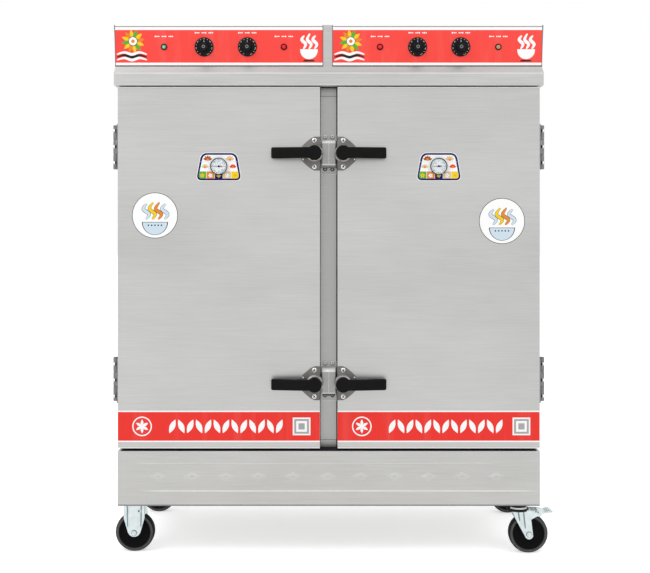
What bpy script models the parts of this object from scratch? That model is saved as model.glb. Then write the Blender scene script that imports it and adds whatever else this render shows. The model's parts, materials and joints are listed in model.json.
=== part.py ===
"""Rice steamer cabinet: two insulated steaming chambers behind two doors, on four casters.

Run in Blender 4.5, in metres with +Z up. The front faces -Y, and X = 0 is the middle of the cabinet
before the last step, which sets the origin under the middle of the whole object, on the floor.
"""

import math

import bmesh
import bpy
from mathutils import Matrix, Vector

# Gaps between pieces
seat_gap = 0.0003
running_gap = 0.0004
hole_gap = 0.0008
overrun = 0.002
weld_distance = 0.000001

# Sheet metal
skin_sheet = 0.0012
liner_sheet = 0.001
plinth_sheet = 0.0015
frame_sheet = 0.0015

# Cabinet body
body_width = 1.292
body_depth = 0.620
plinth_height = 0.165
plinth_rim = 0.028
casing_height = 1.1175
wall_thickness = 0.048

# Front frame round the two chamber openings
frame_depth = 0.020
mullion_width = 0.104
stile_width = 0.045
top_rail = 0.039
bottom_rail = 0.040

# Doors and their gaskets
door_thickness = 0.045
door_fold_radius = 0.003
door_centre_gap = 0.0525
door_foot_gap = 0.010
door_head_gap = 0.004
gasket_thickness = 0.006
gasket_width = 0.014
gasket_inset = 0.008
gasket_corner = 0.010
door_pan_inset = 0.012
door_pan_depth = 0.012

# Chamber liners, each with a water tank below the opening
tank_depth = 0.100
liner_flange = 0.012
runner_count = 12
runner_width = 0.014
runner_sheet = 0.002
runner_end_gap = 0.030
lowest_runner = 0.060
top_runner_drop = 0.0985
drain_radius = 0.0135
drain_cap_radius = 0.020
drain_cap_length = 0.016
drain_reach = 0.024
drain_above_floor = 0.030
drain_from_outer_wall = 0.090

# Heating elements in the tanks
heater_radius = 0.005
heater_height = 0.040
heater_flange_radius = 0.035
heater_flange_thickness = 0.005
heater_boss_radius = 0.020
heater_boss_length = 0.018
heater_wall_gap = 0.090
heater_front_gap = 0.070
heater_neck_gap = 0.110
heater_middle_gap = 0.170
heater_bend = 0.022
heater_port_spacing = 0.030
heater_inner_spacing = 0.120

# Cap on the body
cap_side_overhang = 0.0095
cap_front_overhang = 0.010
cap_back_overhang = 0.008
cap_face_height = 0.039
cap_bevel_height = 0.0205
cap_side_inset = 0.0035
cap_front_inset = 0.012
cap_rim = 0.030

# Control box on the cap
box_side_setback = 0.0005
box_side_flare = 0.004
box_height = 0.1235
box_depth = 0.200
box_setback = 0.001
fascia_tilt_deg = 6
control_drop = 0.004
left_knobs_inset = 0.3313
right_knobs_inset = 0.3088
knob_pitch = 0.132
green_lamp_pitch = 0.1224
left_red_lamp_pitch = 0.1117
right_lamp_pitch = 0.1145

# Knobs and the switches behind them
knob_radius = 0.029
knob_skirt = 0.004
knob_chamfer = 0.0012
knob_hub_radius = 0.0145
knob_hub_top_radius = 0.0125
knob_height = 0.020
knob_lift = 0.0006
knob_stem_radius = 0.003
knob_stem_length = 0.014
bracket_sheet = 0.0015
bracket_width = 0.200
bracket_height = 0.070
switch_width = 0.044
switch_height = 0.040
switch_depth = 0.034

# Signal lamps
lamp_bezel_radius = 0.0098
lamp_bezel = 0.003
lamp_lens_radius = 0.0065
lamp_lens_height = 0.0062
lamp_lens_flat_share = 0.7
lamp_body_radius = 0.0055
lamp_body_length = 0.022

# Cable gland on the back of the control box
gland_from_side = 0.150
gland_height = 0.050
gland_thread_radius = 0.010
gland_nut_radius = 0.0165
gland_nut_length = 0.007
gland_dome_radius = 0.0135
gland_dome_length = 0.016
gland_bore_radius = 0.0065

# Catches on the mullion
strike_width = 0.048
strike_length = 0.122
strike_web_width = 0.042
strike_web_length = 0.067
strike_leg_spread = 0.009
strike_height = 0.040
strike_sheet = 0.002

# Latches on the doors
upper_latch_below_top = 0.204
lower_latch_above_foot = 0.198
latch_pivot_inset = 0.0175
latch_plate_height = 0.103
latch_plate_reach = 0.041
latch_plate_edge_gap = 0.0008
latch_plate_outline_shares = ((0, 1), (0.50, 0.75), (0.93, 0.44), (1, 0.20))
latch_plate_thickness = 0.004
turret_radius = 0.0265
turret_top_radius = 0.0235
turret_height = 0.018
spindle_radius = 0.006
head_radius = 0.022
head_round = 0.004
head_height = 0.048
head_lift = 0.0006
lever_length = 0.131
lever_height = 0.0355
lever_neck_height = 0.034
lever_thickness = 0.013
lever_top_inset = 0.001
lever_drop = 0.014
lever_round = 0.003
lever_straight_share = 0.2
lever_section_shares = (0.2, 0.35, 0.5, 0.65, 0.82)
tongue_reach = 0.0215
tongue_height = 0.018
tongue_thickness = 0.006
tongue_depth = 0.016

# Hinges
upper_hinge_below_top = 0.181
lower_hinge_above_foot = 0.2043
hinge_height = 0.136
hinge_pin_offset = 0.0145
hinge_knuckle_radius = 0.0085
hinge_pin_radius = 0.004
hinge_leaf_sheet = 0.0035
hinge_leaf_width = 0.038
hinge_leaf_gap = 0.005
hinge_knuckle_height = 0.044

# Dial thermometers in the doors
dial_below_top = 0.243
dial_case_radius = 0.026
dial_radius = 0.0228
dial_case_height = 0.0095
dial_face_height = 0.004
dial_rim_round = 0.002
probe_radius = 0.003
probe_reach = 0.050
needle_length = 0.0165
needle_tail = 0.0085
needle_width = 0.0022
needle_tip_width = 0.0007
needle_sheet = 0.0008
needle_lift = 0.0011
needle_hub_radius = 0.0028
needle_hub_height = 0.0018
staff_radius = 0.0010
staff_length = 0.0028

# Casters
wheel_radius = 0.0605
wheel_width = 0.034
wheel_edge = 0.005
wheel_rim_radius = 0.0475
wheel_hub_radius = 0.015
wheel_hub_width = 0.040
wheel_disc_width = 0.024
axle_radius = 0.006
rigid_inset_x = 0.0391
rigid_inset_y = 0.085
caster_plate_length = 0.078
caster_plate_width = 0.096
caster_plate_sheet = 0.004
cheek_sheet = 0.003
cheek_gap = 0.002
axle_nut_radius = 0.0085
axle_nut_length = 0.006
rigid_fork_half_width = 0.0325
rigid_fork_shoulder_drop = 0.056
rigid_fork_tip_radius = 0.0205
rigid_fork_tip_rise = 0.008
front_swivel_inset_x = 0.0555
front_swivel_inset_y = 0.0685
rear_swivel_inset_x = 0.0408
rear_swivel_inset_y = 0.1024
swivel_trail = 0.031
swivel_race_radius = 0.030
swivel_race_height = 0.023
swivel_race_gap = 0.0005
swivel_ring_radius = 0.034
wheel_crown_gap = 0.0105
swivel_crown_sheet = 0.004
swivel_fork_tip_radius = 0.0125
swivel_fork_tip_drop = 0.003
swivel_fork_reach = 0.076
swivel_fork_front_shares = ((-0.28, 1), (-0.163, 0.69))
swivel_fork_back_shares = ((0.49, 0.63), (0.74, 0.77), (0.85, 0.755), (1, 0.89), (1, 0.95), (0.8, 1))
swivel_bridge_share = 0.5
kingpin_radius = 0.006
kingpin_length = 0.020
pedal_pivot_x = 0.064
pedal_pivot_drop = 0.009
pedal_pin_radius = 0.003
pedal_reach = 0.1055
pedal_sheet = 0.002
pedal_height = 0.0165
pedal_boss_radius = 0.0046
pedal_width_margin = 0.0015
pedal_top_shares = ((0, 0.75), (0.25, 0.68), (0.45, 0.75), (0.65, 1), (0.85, 0.95), (1, 0.6))
pedal_bottom_shares = ((1, 0.12), (0.95, 0), (0.6, 0.05), (0.3, 0.25), (0, 0.2))

# Sides of round shapes
round_sides = 20
small_sides = 12
wheel_sides = 20
arc_steps = 5

# Heights that follow from the sizes above
swivel_fork_top_z = 2 * wheel_radius + wheel_crown_gap + swivel_crown_sheet
swivel_race_bottom_z = swivel_fork_top_z + swivel_race_gap
caster_height = swivel_race_bottom_z + swivel_race_height + caster_plate_sheet
plinth_bottom_z = caster_height + seat_gap
plinth_top_z = plinth_bottom_z + plinth_height
casing_bottom_z = plinth_top_z + seat_gap
casing_top_z = casing_bottom_z + casing_height
cap_bottom_z = casing_top_z + seat_gap
cap_shoulder_z = cap_bottom_z + cap_face_height
cap_top_z = cap_shoulder_z + cap_bevel_height
box_bottom_z = cap_top_z + seat_gap
opening_bottom_z = casing_bottom_z + bottom_rail
opening_top_z = casing_top_z - top_rail
tank_floor_z = opening_bottom_z - tank_depth
lowest_runner_z = opening_bottom_z + lowest_runner
runner_pitch = (opening_top_z - top_runner_drop - lowest_runner_z) / (runner_count - 1)
door_bottom_z = plinth_top_z + door_foot_gap
door_top_z = cap_bottom_z - door_head_gap

# Depths from the front of the doors, where Y is zero
frame_face_y = door_thickness + gasket_thickness + 2 * seat_gap
frame_back_y = frame_face_y + frame_depth
liner_front_y = frame_back_y + seat_gap
liner_back_y = body_depth - wall_thickness
hinge_pin_y = (door_thickness + frame_face_y) / 2

# Widths from the middle
body_half = body_width / 2
door_inner_x = door_centre_gap / 2
box_bottom_half = body_half + cap_side_overhang - cap_side_inset - box_side_setback
box_top_half = box_bottom_half + box_side_flare
left_knobs_x = left_knobs_inset - body_half
right_knobs_x = body_half - right_knobs_inset
opening_inner_x = mullion_width / 2
opening_outer_x = body_half - stile_width
latch_x = door_inner_x + latch_pivot_inset
tongue_swing = math.hypot(tongue_reach, tongue_height / 2)
hinge_pin_x = body_half + hinge_pin_offset
cheek_inner_y = wheel_hub_width / 2 + cheek_gap
cheek_outer_y = cheek_inner_y + cheek_sheet

# The pose of pieces on the doors and on the leaning fascia
front_facing = (math.radians(90), 0, 0)
fascia_tilt = math.radians(fascia_tilt_deg)
fascia_facing = (math.radians(90) + fascia_tilt, 0, 0)
fascia_out = Vector((0, -math.cos(fascia_tilt), -math.sin(fascia_tilt)))
fascia_up = Vector((0, -math.sin(fascia_tilt), math.cos(fascia_tilt)))
box_front_y = cap_front_inset - cap_front_overhang + box_setback
box_lean = box_height * math.tan(fascia_tilt)
fascia_middle = Vector((0, box_front_y - box_lean / 2, box_bottom_z + box_height / 2))

sides = {"left": -1, "right": 1}
door_levels = {
    "upper": (door_top_z - upper_latch_below_top, door_top_z - upper_hinge_below_top),
    "lower": (door_bottom_z + lower_latch_above_foot, door_bottom_z + lower_hinge_above_foot),
}
rigid_places = {
    "front": (rigid_inset_x - body_half, rigid_inset_y),
    "rear": (rigid_inset_x - body_half, body_depth - rigid_inset_y),
}
swivel_places = {
    "front": (body_half - front_swivel_inset_x, front_swivel_inset_y),
    "rear": (body_half - rear_swivel_inset_x, body_depth - rear_swivel_inset_y),
}
knobs_x = {
    "left_thermostat_knob": left_knobs_x - knob_pitch / 2,
    "left_timer_knob": left_knobs_x + knob_pitch / 2,
    "right_thermostat_knob": right_knobs_x - knob_pitch / 2,
    "right_timer_knob": right_knobs_x + knob_pitch / 2,
}
lamps_x = {
    "left_green_lamp": (knobs_x["left_thermostat_knob"] - green_lamp_pitch, "green_lens"),
    "left_red_lamp": (knobs_x["left_timer_knob"] + left_red_lamp_pitch, "red_lens"),
    "right_red_lamp": (knobs_x["right_thermostat_knob"] - right_lamp_pitch, "red_lens"),
    "right_amber_lamp": (knobs_x["right_timer_knob"] + right_lamp_pitch, "amber_lens"),
}
dials_x = {name: side * (door_inner_x + body_half) / 2 for name, side in sides.items()}
drain_x = {name: side * (opening_outer_x - drain_from_outer_wall) for name, side in sides.items()}

# Colour, roughness and metallic value of each finish
finishes = {
    "brushed_steel": ((0.56, 0.56, 0.55), 0.38, 1.0),
    "frame_steel": ((0.45, 0.45, 0.44), 0.40, 1.0),
    "liner_steel": ((0.60, 0.60, 0.59), 0.30, 1.0),
    "zinc": ((0.68, 0.72, 0.73), 0.30, 1.0),
    "cast_zinc": ((0.30, 0.30, 0.29), 0.45, 1.0),
    "heater_steel": ((0.35, 0.34, 0.32), 0.35, 1.0),
    "black_plastic": ((0.012, 0.012, 0.012), 0.35, 0.0),
    "black_rubber": ((0.02, 0.02, 0.02), 0.70, 0.0),
    "grey_rubber": ((0.06, 0.06, 0.062), 0.65, 0.0),
    "white_seal": ((0.55, 0.55, 0.53), 0.60, 0.0),
    "dial_case": ((0.30, 0.32, 0.33), 0.25, 1.0),
    "needle_red": ((0.55, 0.05, 0.04), 0.40, 0.0),
    "green_lens": ((0.10, 0.55, 0.30), 0.25, 0.0),
    "red_lens": ((0.75, 0.02, 0.05), 0.25, 0.0),
    "amber_lens": ((0.70, 0.45, 0.22), 0.25, 0.0),
}


def start_scene():
    """Clears the scene and makes the parts' and the cutters' collections and the cabinet's empty."""
    for obj in list(bpy.data.objects):
        bpy.data.objects.remove(obj, do_unlink=True)
    parts = bpy.data.collections.new("rice_steamer_cabinet")
    cutters = bpy.data.collections.new("cutters")
    bpy.context.scene.collection.children.link(parts)
    bpy.context.scene.collection.children.link(cutters)
    cabinet = bpy.data.objects.new("cabinet_origin", None)
    parts.objects.link(cabinet)
    return parts, cutters, cabinet


parts, cutters, cabinet = start_scene()


def mesh_from(bm, name):
    mesh = bpy.data.meshes.new(name)
    bm.to_mesh(mesh)
    bm.free()
    mesh.shade_smooth()
    mesh.set_sharp_from_angle(angle=math.radians(35))
    return mesh


def own_material(name, finish):
    colour, roughness, metallic = finishes[finish]
    material = bpy.data.materials.new(name)
    material.use_nodes = True
    shader = material.node_tree.nodes["Principled BSDF"]
    shader.inputs["Base Color"].default_value = (*colour, 1)
    shader.inputs["Roughness"].default_value = roughness
    shader.inputs["Metallic"].default_value = metallic
    material.diffuse_color = (*colour, 1)
    return material


def add_part(name, bm, finish, place=(0, 0, 0), turn=(0, 0, 0)):
    """A sub-part with its own material, placed in the cabinet's frame."""
    obj = bpy.data.objects.new(name, mesh_from(bm, name))
    obj.data.materials.append(own_material(name, finish))
    obj.parent = cabinet
    obj.location = place
    obj.rotation_euler = turn
    parts.objects.link(obj)
    return obj


def add_helper(owner, bm, job):
    """A hidden shape in its owner's frame, which is cut from the owner or joined to it."""
    name = f"{owner.name}_{job}_{len(owner.modifiers)}"
    helper = bpy.data.objects.new(name, mesh_from(bm, name))
    helper.parent = owner
    helper.hide_render = True
    helper.display_type = "WIRE"
    cutters.objects.link(helper)
    return helper


def boolean(owner, helper, operation):
    modifier = owner.modifiers.new(helper.name, "BOOLEAN")
    modifier.operation = operation
    modifier.solver = "EXACT"
    modifier.object = helper
    return helper


def cut(owner, bm):
    return boolean(owner, add_helper(owner, bm, "cut"), "DIFFERENCE")


def join(owner, bm):
    return boolean(owner, add_helper(owner, bm, "join"), "UNION")


def add_box(bm, corner, opposite):
    low = Vector(map(min, corner, opposite))
    high = Vector(map(max, corner, opposite))
    verts = bmesh.ops.create_cube(bm, size=1)["verts"]
    bmesh.ops.scale(bm, vec=high - low, verts=verts)
    bmesh.ops.translate(bm, vec=(low + high) / 2, verts=verts)


def blocks(*pairs):
    """Boxes from pairs of opposite corners."""
    bm = bmesh.new()
    for corner, opposite in pairs:
        add_box(bm, corner, opposite)
    return bm


def rod(start, end, radius, count=round_sides, end_radius=None):
    """A cylinder, or a cone where end_radius differs, from start to end."""
    bm = bmesh.new()
    run = Vector(end) - Vector(start)
    bmesh.ops.create_cone(
        bm,
        cap_ends=True,
        segments=count,
        radius1=radius,
        radius2=radius if end_radius is None else end_radius,
        depth=run.length,
    )
    turn = Vector((0, 0, 1)).rotation_difference(run).to_matrix()
    bmesh.ops.rotate(bm, cent=(0, 0, 0), matrix=turn, verts=bm.verts)
    bmesh.ops.translate(bm, vec=(Vector(start) + Vector(end)) / 2, verts=bm.verts)
    return bm


def profile(points, closed=False):
    """The edges of a turned profile: pairs of radius and height, down the outer side."""
    bm = bmesh.new()
    verts = [bm.verts.new((radius, 0, height)) for radius, height in points]
    for first, second in zip(verts, verts[1:]):
        bm.edges.new((first, second))
    if closed:
        bm.edges.new((verts[-1], verts[0]))
    return bm


def spin(obj, count):
    """Turns a profile about its object's Z axis."""
    screw = obj.modifiers.new("spin", "SCREW")
    screw.axis = "Z"
    screw.steps = count
    screw.render_steps = count
    screw.use_merge_vertices = True
    screw.merge_threshold = weld_distance


def shell(obj, sheet):
    """Gives an open surface its sheet thickness, inwards."""
    solidify = obj.modifiers.new("sheet", "SOLIDIFY")
    solidify.thickness = sheet
    solidify.offset = -1
    solidify.use_even_offset = True


def open_box(corner, opposite, *open_sides):
    """A box surface without the faces that look along the given directions."""
    bm = blocks((corner, opposite))
    bm.normal_update()
    gone = [f for f in bm.faces for way in open_sides if f.normal.dot(Vector(way)) > 0.5]
    bmesh.ops.delete(bm, geom=gone, context="FACES")
    return bm


def mesh_of_curve(curve):
    """A curve's solid as a bmesh, with its caps welded to its sides."""
    obj = bpy.data.objects.new("curve", curve)
    bpy.context.scene.collection.objects.link(obj)
    bpy.context.view_layer.update()
    graph = bpy.context.evaluated_depsgraph_get()
    mesh = bpy.data.meshes.new_from_object(obj.evaluated_get(graph))
    bpy.data.objects.remove(obj)
    bm = bmesh.new()
    bm.from_mesh(mesh)
    bpy.data.meshes.remove(mesh)
    bmesh.ops.remove_doubles(bm, verts=bm.verts, dist=weld_distance)
    bmesh.ops.recalc_face_normals(bm, faces=bm.faces)
    return bm


def add_spline(curve, points, cyclic):
    spline = curve.splines.new("POLY")
    spline.points.add(len(points) - 1)
    for target, point in zip(spline.points, points):
        target.co = (*point, 0, 1) if len(point) == 2 else (*point, 1)
    spline.use_cyclic_u = cyclic


def plate(thickness, *outlines):
    """A flat plate on Z = 0: the first outline less the others."""
    curve = bpy.data.curves.new("plate", "CURVE")
    curve.dimensions = "2D"
    curve.fill_mode = "BOTH"
    curve.extrude = thickness / 2
    for outline in outlines:
        add_spline(curve, outline, True)
    bm = mesh_of_curve(curve)
    bmesh.ops.translate(bm, vec=(0, 0, thickness / 2), verts=bm.verts)
    return bm


def standing_plate(thickness, y, *outlines):
    """A plate that stands in the XZ plane, with its front face at y."""
    bm = plate(thickness, *outlines)
    turn = Matrix.Rotation(math.radians(90), 3, "X")
    bmesh.ops.rotate(bm, cent=(0, 0, 0), matrix=turn, verts=bm.verts)
    bmesh.ops.translate(bm, vec=(0, y + thickness, 0), verts=bm.verts)
    return bm


def folded_strip(width, outline):
    """A strip across X whose outline runs up Y and out along Z."""
    bm = plate(width, outline)
    bmesh.ops.translate(bm, vec=(0, 0, -width / 2), verts=bm.verts)
    turn = Matrix(((0, 0, 1), (1, 0, 0), (0, 1, 0)))
    bmesh.ops.rotate(bm, cent=(0, 0, 0), matrix=turn, verts=bm.verts)
    return bm


def from_shares(shares, width, height, foot=0):
    """Points from shares of a width and of a height above its foot."""
    return [(width * x, foot + height * y) for x, y in shares]


def tube(points, radius):
    """A bent round bar along the points."""
    curve = bpy.data.curves.new("tube", "CURVE")
    curve.dimensions = "3D"
    curve.bevel_depth = radius
    curve.bevel_resolution = 1
    curve.use_fill_caps = True
    add_spline(curve, points, False)
    return mesh_of_curve(curve)


def arc(centre, radius, start_deg, end_deg, steps=arc_steps):
    """Points along an arc in a plane, ends included."""
    angles = [math.radians(start_deg + (end_deg - start_deg) * i / steps) for i in range(steps + 1)]
    return [(centre[0] + radius * math.cos(a), centre[1] + radius * math.sin(a)) for a in angles]


def rounded_rectangle(low, high, radius):
    """A rectangle's outline, counter-clockwise from its lower right corner."""
    corners = (
        ((high[0] - radius, low[1] + radius), -90),
        ((high[0] - radius, high[1] - radius), 0),
        ((low[0] + radius, high[1] - radius), 90),
        ((low[0] + radius, low[1] + radius), 180),
    )
    return [p for centre, angle in corners for p in arc(centre, radius, angle, angle + 90, 3)]


def eased_path(points, radius):
    """The points of a path with each inner corner rounded."""
    path = [Vector(points[0])]
    for before, corner, after in zip(points, points[1:], points[2:]):
        corner = Vector(corner)
        start = corner + (Vector(before) - corner).normalized() * radius
        end = corner + (Vector(after) - corner).normalized() * radius
        centre = start + end - corner
        for i in range(4):
            angle = math.radians(90) * i / 3
            path.append(centre + (start - centre) * math.cos(angle) + (end - centre) * math.sin(angle))
    return path + [Vector(points[-1])]


def on_fascia(x, up=0, out=0):
    """A point of the leaning fascia, out metres in front of it."""
    return Vector((x, 0, 0)) + fascia_middle + fascia_up * up + fascia_out * out


def make_plinth():
    """The base tray, which the casters are bolted under and the body stands on."""
    low = Vector((-body_half, 0, plinth_bottom_z))
    high = Vector((body_half, body_depth, plinth_top_z))
    sheet = Vector((plinth_sheet, plinth_sheet, plinth_sheet))
    plinth = add_part("base_plinth", blocks((low, high)), "brushed_steel")
    cut(plinth, blocks((low + sheet, high - sheet)))
    window_low = (-body_half + plinth_rim, frame_back_y, plinth_top_z - plinth_sheet - overrun)
    window_high = (body_half - plinth_rim, body_depth - plinth_rim, plinth_top_z + overrun)
    cut(plinth, blocks((window_low, window_high)))
    for x in drain_x.values():
        z = tank_floor_z + drain_above_floor
        start = (x, body_depth - plinth_sheet - overrun, z)
        end = (x, body_depth + overrun, z)
        cut(plinth, rod(start, end, drain_radius + hole_gap, small_sides))


def make_casing():
    """The folded outer skin: two sides, back and top."""
    low = (-body_half, liner_front_y, casing_bottom_z)
    high = (body_half, body_depth, casing_top_z)
    casing = add_part("outer_casing", open_box(low, high, (0, -1, 0), (0, 0, -1)), "brushed_steel")
    shell(casing, skin_sheet)


def opening_corners(side, start_y, end_y, margin=0):
    """A chamber opening as a box through the given depths, wider all round by margin."""
    low = (side * (opening_inner_x - margin), start_y, opening_bottom_z - margin)
    high = (side * (opening_outer_x + margin), end_y, opening_top_z + margin)
    return low, high


def make_front_frame():
    """The folded frame with its mullion: a face sheet with lips turned back."""
    low = Vector((-body_half, frame_face_y, casing_bottom_z))
    high = Vector((body_half, frame_back_y, casing_top_z))
    frame = add_part("front_frame", blocks((low, high)), "frame_steel")
    sheet = Vector((frame_sheet, frame_sheet, frame_sheet))
    pocket_high = high - sheet
    pocket_high.y = frame_back_y + overrun
    pocket = cut(frame, blocks((low + sheet, pocket_high)))
    for side in sides.values():
        lip = opening_corners(side, frame_face_y, frame_back_y + 2 * overrun, frame_sheet)
        cut(pocket, blocks(lip))
        cut(frame, blocks(opening_corners(side, frame_face_y - overrun, frame_back_y + overrun)))


def runner_boxes(side):
    """The ledges along both walls of a chamber, which trays slide in on."""
    pairs = []
    start_y = liner_front_y + runner_end_gap
    end_y = liner_back_y - runner_end_gap
    walls = ((opening_inner_x, 1), (opening_outer_x, -1))
    for level in range(runner_count):
        z = lowest_runner_z + level * runner_pitch
        for wall, way in walls:
            root = side * (wall - way * liner_sheet / 2)
            edge = side * (wall + way * runner_width)
            pairs.append(((root, start_y, z), (edge, end_y, z + runner_sheet)))
    return pairs


def make_liner(name, side):
    """A steaming chamber with its tank, its tray runners and its capped drain."""
    front_low = (side * (opening_inner_x - liner_flange), liner_front_y, tank_floor_z - liner_sheet)
    front_high = (
        side * (opening_outer_x + liner_flange),
        liner_front_y + liner_sheet,
        opening_top_z + liner_flange,
    )
    liner = add_part(f"chamber_liner_{name}", blocks((front_low, front_high)), "liner_steel")
    inside_low = (side * opening_inner_x, liner_front_y + liner_sheet, tank_floor_z)
    inside_high = (side * opening_outer_x, liner_back_y, opening_top_z)
    outer_low = (
        side * (opening_inner_x - liner_sheet),
        liner_front_y,
        tank_floor_z - liner_sheet,
    )
    outer_high = (
        side * (opening_outer_x + liner_sheet),
        liner_back_y + liner_sheet,
        opening_top_z + liner_sheet,
    )
    join(liner, blocks((outer_low, outer_high)))
    cut(liner, blocks((inside_low, inside_high)))
    cut(liner, blocks(opening_corners(side, liner_front_y - overrun, liner_front_y + 2 * overrun)))
    join(liner, blocks(*runner_boxes(side)))
    drain_z = tank_floor_z + drain_above_floor
    pipe_start = (drain_x[name], liner_back_y + liner_sheet / 2, drain_z)
    cap_start = (drain_x[name], body_depth + drain_reach - drain_cap_length, drain_z)
    cap_end = (drain_x[name], body_depth + drain_reach, drain_z)
    join(liner, rod(pipe_start, cap_end, drain_radius, small_sides))
    join(liner, rod(cap_start, cap_end, drain_cap_radius, 6))
    heater_x = side * (opening_inner_x + opening_outer_x) / 2
    heater_z = tank_floor_z + heater_height
    hole_start = (heater_x, liner_back_y - overrun, heater_z)
    hole_end = (heater_x, liner_back_y + liner_sheet + overrun, heater_z)
    cut(liner, rod(hole_start, hole_end, heater_boss_radius + hole_gap, small_sides))


def make_heater(name, side):
    """A tubular element that winds through the tank, on a flange at the tank's back wall."""
    middle = side * (opening_inner_x + opening_outer_x) / 2
    z = tank_floor_z + heater_height
    half = (opening_outer_x - opening_inner_x) / 2 - heater_wall_gap
    near_y = liner_back_y - heater_neck_gap
    turn_y = liner_back_y - heater_middle_gap
    front_y = liner_front_y + heater_front_gap
    flange_y = liner_back_y - seat_gap - heater_flange_thickness
    port = heater_port_spacing / 2
    inner = heater_inner_spacing / 2
    flange_start = (middle, flange_y, z)
    flange_end = (middle, liner_back_y - seat_gap, z)
    boss_end = (middle, liner_back_y + heater_boss_length, z)
    half_path = [
        (port, flange_y + heater_flange_thickness / 2),
        (port, near_y),
        (half, near_y),
        (half, front_y),
        (inner, front_y),
        (inner, turn_y),
    ]
    path = [(middle - x, y, z) for x, y in half_path]
    path += [(middle + x, y, z) for x, y in reversed(half_path)]
    heater = add_part(f"heater_{name}", rod(flange_start, flange_end, heater_flange_radius), "heater_steel")
    join(heater, rod(flange_start, boss_end, heater_boss_radius, small_sides))
    join(heater, tube(eased_path(path, heater_bend), heater_radius))


def make_cap():
    """The cap over the body: an upright band, a sloped shoulder and a flat deck."""
    low = Vector((-body_half - cap_side_overhang, -cap_front_overhang, cap_bottom_z))
    high = Vector((body_half + cap_side_overhang, body_depth + cap_back_overhang, cap_top_z))
    bm = open_box(low, high, (0, 0, -1))
    everything = bm.verts[:] + bm.edges[:] + bm.faces[:]
    bmesh.ops.bisect_plane(bm, geom=everything, plane_co=(0, 0, cap_shoulder_z), plane_no=(0, 0, 1))
    for vert in bm.verts:
        if vert.co.z > cap_shoulder_z + cap_bevel_height / 2:
            vert.co.x -= math.copysign(cap_side_inset, vert.co.x)
            vert.co.y += cap_front_inset if vert.co.y < body_depth / 2 else -cap_front_inset
    cap = add_part("top_cap", bm, "brushed_steel")
    shell(cap, skin_sheet)
    rim_high = Vector((high.x - skin_sheet / 2, high.y - skin_sheet / 2, cap_bottom_z + skin_sheet))
    rim_low = Vector((low.x + skin_sheet / 2, low.y + skin_sheet / 2, cap_bottom_z))
    join(cap, blocks((rim_low, rim_high)))
    rim = Vector((cap_rim + cap_side_overhang, cap_rim + cap_front_overhang, overrun))
    window_low = Vector((low.x, low.y, cap_bottom_z)) + Vector((rim.x, rim.y, -overrun))
    window_high = Vector((high.x, high.y, cap_bottom_z + skin_sheet)) + Vector((-rim.x, -rim.y, overrun))
    cut(cap, blocks((window_low, window_high)))


def make_control_box():
    """The box on the cap, whose fascia leans forward, with holes for the knobs, lamps and gland."""
    low = Vector((-box_bottom_half, box_front_y, box_bottom_z))
    high = Vector((box_bottom_half, box_front_y + box_depth, box_bottom_z + box_height))
    bm = open_box(low, high, (0, 0, -1))
    for vert in bm.verts:
        if vert.co.z > box_bottom_z + box_height / 2:
            vert.co.x += math.copysign(box_side_flare, vert.co.x)
            vert.co.y -= box_lean if vert.co.y < box_front_y + box_depth / 2 else 0
    box = add_part("control_box", bm, "brushed_steel")
    shell(box, skin_sheet)
    holes = [(x, knob_stem_radius + hole_gap) for x in knobs_x.values()]
    holes += [(x, lamp_body_radius + running_gap) for x, lens in lamps_x.values()]
    for x, radius in holes:
        start = on_fascia(x, -control_drop, overrun)
        end = on_fascia(x, -control_drop, -skin_sheet - overrun)
        cut(box, rod(start, end, radius, small_sides))
    gland = gland_place()
    start = gland - Vector((0, skin_sheet + overrun, 0))
    end = gland + Vector((0, overrun, 0))
    cut(box, rod(start, end, gland_thread_radius + running_gap, small_sides))


def gland_place():
    """The gland's point on the outer face of the control box's back."""
    return Vector((box_bottom_half - gland_from_side, box_front_y + box_depth, box_bottom_z + gland_height))


def make_gland():
    """The cable gland: a hexagon against the back, a dome behind it and a thread through the wall."""
    face = gland_place() + Vector((0, seat_gap, 0))
    back = Vector((0, 1, 0))
    gland = add_part(
        "cable_gland", rod(face, face + back * gland_nut_length, gland_nut_radius, 6), "black_plastic"
    )
    dome_end = face + back * (gland_nut_length + gland_dome_length)
    join(gland, rod(face + back * gland_nut_length / 2, dome_end, gland_dome_radius, small_sides))
    thread_end = face - back * (skin_sheet + gland_nut_length)
    join(gland, rod(thread_end, face + back * gland_nut_length / 2, gland_thread_radius, small_sides))
    cut(gland, rod(thread_end - back * overrun, dome_end + back * overrun, gland_bore_radius, small_sides))


def make_knob(name, x):
    """A dial knob: a numbered skirt, a hub to grip and a stem into its switch."""
    points = [
        (0, knob_height),
        (knob_hub_top_radius, knob_height),
        (knob_hub_radius, knob_skirt),
        (knob_radius - knob_chamfer, knob_skirt),
        (knob_radius, knob_skirt - knob_chamfer),
        (knob_radius, 0),
        (knob_stem_radius, 0),
        (knob_stem_radius, -knob_stem_length),
        (0, -knob_stem_length),
    ]
    place = on_fascia(x, -control_drop, knob_lift)
    knob = add_part(name, profile(points), "black_plastic", place, fascia_facing)
    spin(knob, round_sides)


def make_switch_bracket(name, middle):
    """A bracket behind the fascia with the two switches that a pair of knobs turns."""
    place = on_fascia(middle, -control_drop, -skin_sheet - seat_gap)
    half = Vector((bracket_width / 2, bracket_height / 2, 0))
    bracket = add_part(
        f"switch_bracket_{name}",
        blocks((-half, half - Vector((0, 0, bracket_sheet)))),
        "zinc",
        place,
        fascia_facing,
    )
    for way in (-1, 1):
        x = way * knob_pitch / 2
        low = (x - switch_width / 2, -switch_height / 2, -bracket_sheet - switch_depth)
        high = (x + switch_width / 2, switch_height / 2, -bracket_sheet / 2)
        join(bracket, blocks((low, high)))
        bore_end = (x, 0, -knob_stem_length)
        cut(bracket, rod((x, 0, overrun), bore_end, knob_stem_radius + running_gap, small_sides))


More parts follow.
